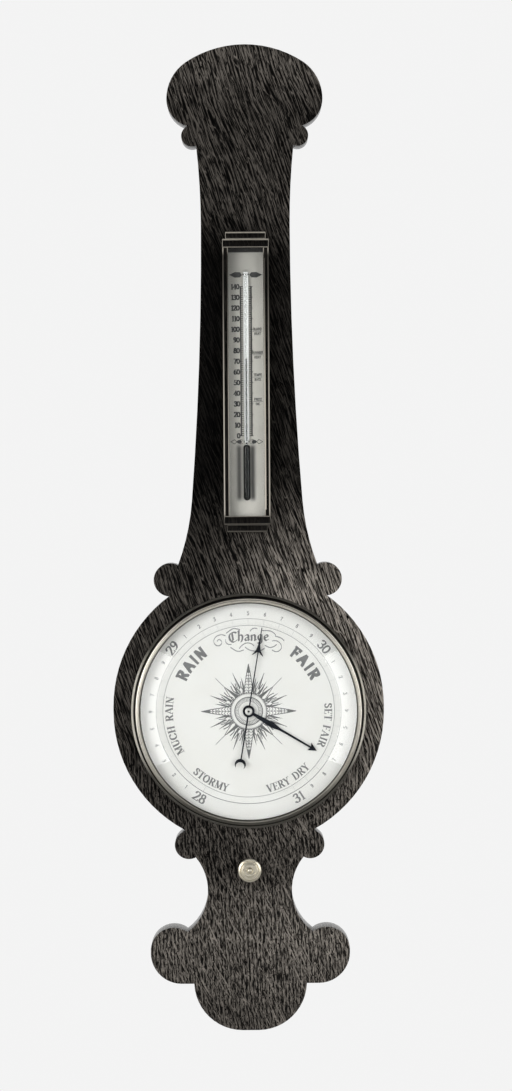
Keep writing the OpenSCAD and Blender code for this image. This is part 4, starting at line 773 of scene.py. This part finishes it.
def round_dial(radius, degrees, size, tops_out=True):
    """Lays a word round the dial, its middle at an angle clockwise from the top and at a radius."""
    def lay(u, v):
        sign = 1 if tops_out else -1
        r = radius + sign * (v - size / 2)
        a = math.radians(degrees) + sign * u / radius
        return r * math.sin(a), r * math.cos(a)
    return lay


def circle_line(radius, width, steps=180):
    faces = []
    inner, outer = radius - width / 2, radius + width / 2
    for i in range(steps):
        corners = []
        for r, j in ((inner, i), (inner, i + 1), (outer, i + 1), (outer, i)):
            a = -2 * math.pi * j / steps
            corners.append((r * math.sin(a), r * math.cos(a)))
        faces.append(round_hull(corners))
    return faces


def ray(degrees, points):
    """A flat shape given by distance out and sideways, at an angle clockwise from the top."""
    a = math.radians(degrees)
    return [(r * math.sin(a) + s * math.cos(a), r * math.cos(a) - s * math.sin(a)) for r, s in points]


def dial_line(degrees, r0, r1, width):
    return round_hull(ray(degrees, [(r0, -width / 2), (r1, -width / 2), (r1, width / 2), (r0, width / 2)]))


def print_sheet(name, faces, face_z, ink_finish):
    """Lays printed faces just in front of a sheet, in nine levels so that crossing strokes don't coincide."""
    work = bmesh.new()
    for count, face in enumerate(faces):
        if len(face) > 2:
            z = face_z + INK_T + INK_STEP * (count % 9)
            work.faces.new([work.verts.new(place(x, y, z)) for x, y in face])
    mesh = bpy.data.meshes.new(name)
    work.to_mesh(mesh)
    work.free()
    sheet = bpy.data.objects.new(name, mesh)
    bpy.context.collection.objects.link(sheet)
    settle(sheet, "case", ink_finish)


def dial_ticks():
    """Hundredths of an inch, one degree each, with longer lines at fives and tens."""
    foot, last_step = 74.1, 158
    faces = []
    for step in range(-last_step, last_step + 1):
        top = 79.3 if step % 10 == 0 else 77.6 if step % 5 == 0 else 76.0
        faces.append(dial_line(step, foot, top, 0.3 if step % 10 == 0 else 0.14))
    return faces


def dial_figures():
    faces = []
    size, radius = 8.0, 85.2
    for number, degrees in (("28", -150), ("29", -50), ("30", 50), ("31", 150)):
        lay = round_dial(radius, degrees, size, abs(degrees) < 90)
        faces += written(number, size, FIGURES, lay, 0.3, 1.16)
    size, radius = 3.3, 84.2
    for tenth in range(1, 10):
        for inch in (-150, -50, 50):
            degrees = inch + 10 * tenth
            faces += written(str(tenth), size, SMALL, round_dial(radius, degrees, size, abs(degrees) < 90))
    return faces


def dial_words():
    faces = []
    for word, size, style, radius, degrees, tops_out, spread, stretch in (
            ("RAIN", 8.7, BOLD, 64.6, -50.2, True, 2.2, 1.12),
            ("FAIR", 8.7, BOLD, 64.6, 50.2, True, 2.4, 1.14),
            ("MUCH RAIN", 6.2, ROMAN, 68.6, -100.6, True, 0.75, 1.16),
            ("SET FAIR", 6.2, ROMAN, 68.6, 100.6, True, 0.75, 1.12),
            ("STORMY", 6.3, ROMAN, 68.6, -151, False, 0.5, 1.1),
            ("VERY DRY", 6.3, ROMAN, 68.6, 150, False, 0.6, 1.08)):
        faces += written(word, size, style, round_dial(radius, degrees, size, tops_out), spread, stretch)
    return faces + written(["Ch", "h", "a", "n", "g", "e"], 8.3, BLACK, straight(0.1, 60.6), 0.28, 1.18)


def scroll_lines():
    """Pen flourishes round the word at the top of the dial."""
    strokes = [
        [(-18.8, 67.4), (-14.9, 70.1), (-12.2, 71.2), (-7.2, 70.4)],
        [(-19.7, 65.1), (-22.6, 66.0), (-25.8, 65.4), (-28.0, 64.0), (-29.6, 61.3), (-29.2, 58.6),
         (-27.1, 56.6), (-24.4, 56.8), (-22.7, 59.0), (-23.5, 61.1), (-25.6, 61.8), (-26.7, 60.4)],
        [(-19.5, 61.8), (-19.2, 59.5), (-17.2, 57.7), (-14.5, 57.5)],
        [(-15.2, 55.0), (-13.1, 53.6), (-10.4, 52.0), (-7.7, 51.6), (-4.1, 52.7)],
        [(-7.7, 54.1), (-5.9, 56.3), (-3.2, 58.1), (-0.5, 58.8), (2.7, 58.1), (5.0, 56.3)],
        [(-2.7, 55.2), (0.0, 53.2), (3.6, 52.0), (8.0, 51.6), (11.6, 52.6), (14.0, 54.1)],
        [(1.8, 69.0), (3.1, 70.6), (5.4, 71.5), (7.7, 71.0)],
        [(11.3, 69.2), (14.9, 69.4), (19.4, 68.8), (22.1, 67.2), (23.7, 65.4)],
        [(23.3, 64.5), (27.1, 63.3), (29.4, 62.0), (30.9, 60.4)],
        [(20.8, 60.4), (23.5, 60.6), (26.2, 59.5), (28.2, 57.2), (28.5, 54.1), (26.2, 51.6),
         (23.5, 51.1), (20.5, 52.5)],
        [(14.4, 56.6), (16.7, 55.4), (19.0, 54.7), (22.1, 55.6), (24.4, 57.2)],
    ]
    faces = []
    for stroke in strokes:
        faces += drawn(flowing(stroke, 6), nib(0.4, 0.8))
    return faces


def compass_rose():
    """A sun rose in fine lines: four long points, four rays between them, and shorter flames."""
    faces = []
    for quarter in range(4):
        turn = 90 * quarter
        for side in (-1, 1):
            edge = [(15.6, 4.3 * side), (24, 2.9 * side), (31, 1.9 * side), (40.6, 0)]
            faces += drawn(ray(turn, edge), nib(0.55, 0.55))
            for step in range(7):
                r = 17 + 2.6 * step
                reach = 3.9 * (41 - r) / 25
                arch = [(r, 0), (r + 1.3, side * reach * 0.55), (r, side * reach)]
                faces += drawn(flowing(ray(turn, arch), 3), nib(0.34, 0.34))
        faces.append(round_hull(ray(turn, [(33.5, -1.3), (33.5, 1.3), (40.8, 0)])))
        faces.append(dial_line(turn, 15.6, 34, 0.4))
        faces += drawn(ellipse(*ray(turn, [(27.2, 0)])[0], 0.9, 0.9, 10), nib(0.3, 0.3))
        diagonal = turn + 45
        dark = 1 if quarter % 2 else -1
        shaded = [(15.8, 0.2 * dark), (15.8, 3.3 * dark), (29, 0.35 * dark), (30, 0)]
        faces.append(round_hull(ray(diagonal, shaded)))
        faces.append(dial_line(diagonal, 28, 40.4, 0.42))
        faces += drawn(ray(diagonal, [(15.8, -3.2 * dark), (29, -0.3 * dark)]), nib(0.42, 0.42))
        for side in (22.5, 67.5):
            faces.append(round_hull(ray(turn + side, [(20, 0), (21.5, 1.5), (28, 0.3), (35.4, 0)])))
            edge = [(16, -1.6), (22, -0.9), (28, -0.25), (35.4, 0)]
            faces += drawn(ray(turn + side, edge), nib(0.36, 0.36))
        for side in (12.5, 31, 59, 77.5):
            faces.append(round_hull(ray(turn + side, [(17, -0.8), (17, 0.8), (23, 0.9), (30.4, 0)])))
        for side in (16.5, 27, 36.5, 53.5, 63, 73.5):
            flame = [(16, -0.7), (19.0, 0.6), (22.0, -0.2), (26.4, 0.5)]
            faces += drawn(flowing(ray(turn + side, flame), 4), nib(0.55, 0.55))
            spark = [(16, 0.9), (18.5, 1.3), (20.6, 0.4)]
            faces += drawn(flowing(ray(turn + side, spark), 4), nib(0.45, 0.45))
    for radius, width in ((15.7, 0.7), (14.9, 0.25), (11.9, 0.9), (10.9, 0.3), (8.7, 0.3)):
        faces += circle_line(radius, width, 72)
    for step in range(48):
        faces.append(round_hull(ellipse(*ray(7.5 * step, [(16.3, 0)])[0], 0.5, 0.5, 6)))
        faces.append(dial_line(7.5 * step + 3.75, 9.0, 10.6, 0.42))
    return faces


def bar(x0, x1, y0, y1):
    return round_hull([(x0, y0), (x1, y0), (x1, y1), (x0, y1)])


def thermometer_figures():
    faces = []
    size, top_degree, stroke = 4.4, 140, 0.35
    for number in range(0, top_degree + 1, 10):
        text = str(number)
        width = sum(GLYPHS[k][0] for k in text) / 100 * size
        y = SCALE_FOOT + DEGREE_H * number
        faces += written(text, size, HEAVY, straight(-5.6 - width / 2, y - size / 2))
    for number in range(0, top_degree + 1, 2):
        y = SCALE_FOOT + DEGREE_H * number
        reach = 5.9 if number % 10 == 0 else 5.2
        for side in (-1, 1):
            faces.append(bar(side * 2.5, side * reach, y - stroke, y + stroke))
    for side in (-1, 1):
        faces.append(bar(side * 4.0, side * 5.2, SCALE_FOOT, SCALE_FOOT + DEGREE_H * top_degree))
    return faces


def thermometer_notes():
    faces = []
    size, middle, stroke = 2.1, 9.8, 0.18
    for number, above, below in (
            (98, "BLOOD", "HEAT"), (76, "SUMMER", "HEAT"), (55, "TEMPE", "RATE"), (32, "FREEZ", "ING")):
        y = SCALE_FOOT + DEGREE_H * number
        faces.append(bar(5.6, 14.0, y - stroke, y + stroke))
        faces += written(above, size, NOTE, straight(middle, y + 0.9), 0.1, 0.9)
        faces += written(below, size, NOTE, straight(middle, y - 3.1), 0.1, 0.9)
    return faces


def thermometer_ornaments():
    """A leaf on each side of the stem's top, and a drop with a lozenge on each side of its foot."""
    faces = []
    leaf_y, drop_y, pen = 375.8, 232.0, nib(0.35, 0.35)
    leaf = [(3.2, 0), (4.8, 2.2), (9.4, 2.4), (14.2, 0), (9.4, -2.4), (4.8, -2.2)]
    lozenge = [(8.6, 0), (10.4, 1.9), (13.8, 0), (10.4, -1.9), (8.6, 0)]
    for side in (-1, 1):
        faces.append(round_hull([(side * x, leaf_y + v) for x, v in leaf]))
        faces += drawn([(side * 13.2, leaf_y), (side * 14.4, leaf_y)], nib(0.4, 0.3))
        faces += drawn([(side * x, drop_y + v) for x, v in lozenge], pen)
        faces.append(round_hull(ellipse(side * 6.4, drop_y, 2.2, 1.6, 12)))
        for up in (1, -1):
            sprig = [(3.2, 1.4 * up), (5.4, 1.9 * up), (8.6, 0)]
            faces += drawn([(side * x, drop_y + v) for x, v in sprig], pen)
    return faces


# White enamel at the back of the thermometer's stem
def tube_backing():
    foot, top = 233.0, 378.0
    radius, wall, open_past = 0.0019, 0.0002, 0.0004
    bpy.ops.object.select_all(action="DESELECT")
    bpy.ops.mesh.primitive_cylinder_add(
        vertices=32, radius=radius, depth=(top - foot) / 1000, end_fill_type="NOTHING",
        location=place(0, (foot + top) / 2, TUBE_AXIS))
    strip = bpy.context.object
    strip.name = "tube_backing"
    bpy.ops.object.transform_apply(location=True, rotation=True, scale=True)
    work = bmesh.new()
    work.from_mesh(strip.data)
    limit = -TUBE_AXIS / 1000 + open_past
    front = [face for face in work.faces if face.calc_center_median().y < limit]
    bmesh.ops.delete(work, geom=front, context="FACES")
    for face in work.faces:
        face.normal_flip()
    work.to_mesh(strip.data)
    work.free()
    solid = strip.modifiers.new("wall", "SOLIDIFY")
    solid.thickness = wall
    solid.offset = -1.0
    bpy.ops.object.modifier_apply(modifier="wall")
    smooth_edges(strip)
    settle(strip, "case", tube_white)


eased_case()
rounded_member("thermometer_side_rails", "box_rails")
rounded_member("thermometer_top_cap", "box_top_moulding")
rounded_member("thermometer_bottom_cap", "box_foot_moulding")
spring_root = place(0, CLAMP_EDGE, LEVER_BACK)
spring_end = place(0, LEVER_ROOT, LEVER_BACK)
flexing("main_spring", "bending_mainspring", spring_blue, spring_root, spring_end, 7)
capsule_low, capsule_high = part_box("capsule")
capsule_back = Vector((0, capsule_high.y, capsule_low.z))
capsule_front = Vector((0, capsule_low.y, capsule_low.z))
flexing("capsule", "swelling_capsule", capsule_nickel, capsule_back, capsule_front, 2)
rings = circle_line(RING_IN, 0.34) + circle_line(RING_OUT, 0.3)
print_sheet("dial_ring_print", rings, DIAL_FACE, fine_ink)
print_sheet("dial_ticks_print", dial_ticks(), DIAL_FACE, pale_ink)
print_sheet("dial_figures_print", dial_figures(), DIAL_FACE, faded_ink)
print_sheet("dial_words_print", dial_words(), DIAL_FACE + WORD_LIFT, faded_ink)
print_sheet("dial_scroll_print", scroll_lines(), DIAL_FACE, scroll_ink)
print_sheet("dial_rose_print", compass_rose(), DIAL_FACE, rose_ink)
print_sheet("thermometer_figures_print", thermometer_figures(), SCALE_FACE, print_ink)
print_sheet("thermometer_notes_print", thermometer_notes(), SCALE_FACE, print_ink)
print_sheet("thermometer_ornaments_print", thermometer_ornaments(), SCALE_FACE, print_ink)
tube_backing()


# Studio: a pale floor below the object, soft lamps on both sides and above, two cards and a white ground
def studio_floor():
    """A floor that the camera sees mostly through, to the white ground."""
    seen_through = 0.75
    bpy.ops.object.select_all(action="DESELECT")
    bpy.ops.mesh.primitive_plane_add(size=1, location=(0, -1.9, -1.3))
    floor = bpy.context.object
    floor.name = "studio_floor"
    floor.scale = (12, 8.2, 1)
    bpy.ops.object.transform_apply(location=True, rotation=True, scale=True)
    pale = painted("pale_floor", (0.82, 0.82, 0.81), (0.8, 0.8, 0.79), 0.6, 0.1, 4.0)
    tree = pale.node_tree
    rays = add(tree, "LightPath", (0, 300))
    shown = add(tree, "BsdfTransparent", (0, -500))
    share = maths(tree, "MULTIPLY", rays.outputs["Is Camera Ray"], seen_through)
    mixed_surface(tree, share, tree.nodes["Principled BSDF"].outputs[0], shown.outputs[0])
    dress(floor, pale)


def softbox(name, where, aim, width, height, watts):
    lamp = bpy.data.lights.new(name, "AREA")
    lamp.shape = "RECTANGLE"
    lamp.size, lamp.size_y, lamp.energy = width, height, watts
    holder = bpy.data.objects.new(name, lamp)
    holder.location = where
    holder.rotation_euler = (Vector(aim) - Vector(where)).to_track_quat("-Z", "Y").to_euler()
    bpy.context.collection.objects.link(holder)


def white_ground():
    """White behind the object for camera, glossy and glass rays, with a dim room in front of it."""
    world = bpy.data.worlds.new("white_ground")
    bpy.context.scene.world = world
    world.use_nodes = True
    tree = world.node_tree
    shown = tree.nodes["Background"]
    shown.inputs["Strength"].default_value = 1.0
    room = add(tree, "Background", (0, -200), None, {"Color": (1, 1, 1, 1), "Strength": 0.14})
    rays = add(tree, "LightPath", (-600, 300)).outputs
    behind = ramp(tree, axes_of(tree, "Generated")[1], [(0.0, 0.06), (0.35, 0.9)], (-500, 0))
    white = tinted(tree, rays["Is Camera Ray"], behind, (0.9, 0.9, 0.9), (-200, 100))
    join(tree, white, shown.inputs["Color"])
    kinds = ("Is Camera Ray", "Is Glossy Ray", "Is Transmission Ray")
    seen = maths(tree, "MAXIMUM", *[rays[kind] for kind in kinds])
    mixed_surface(tree, seen, room.outputs[0], shown.outputs[0], "World Output")


def photographer():
    lens = bpy.data.cameras.new("camera")
    lens.sensor_width = 36
    lens.lens = 115.1
    lens.shift_y = -0.06
    camera = bpy.data.objects.new("camera", lens)
    camera.location = (0.0077, -3.04, -0.339)
    camera.rotation_euler = (math.radians(90), math.radians(0.405), 0)
    bpy.context.collection.objects.link(camera)
    bpy.context.scene.camera = camera


studio_floor()
softbox("lamp_left", (-1.5, -1.8, -0.2), (0, 0, -0.42), 0.9, 1.4, 18.5)
softbox("lamp_right", (1.5, -1.8, -0.2), (0, 0, -0.42), 0.9, 1.4, 13.0)
softbox("lamp_top", (0, -1.9, 0.9), (0, 0, -0.4), 1.6, 0.4, 3)
softbox("card_left", (-0.5, -3.0, -0.72), (0, 0, -0.55), 0.22, 0.55, 1.7)
softbox("card_right", (0.5, -3.0, -0.72), (0, 0, -0.55), 0.22, 0.55, 1.7)
white_ground()
photographer()
bpy.context.scene.view_settings.view_transform = "Standard"
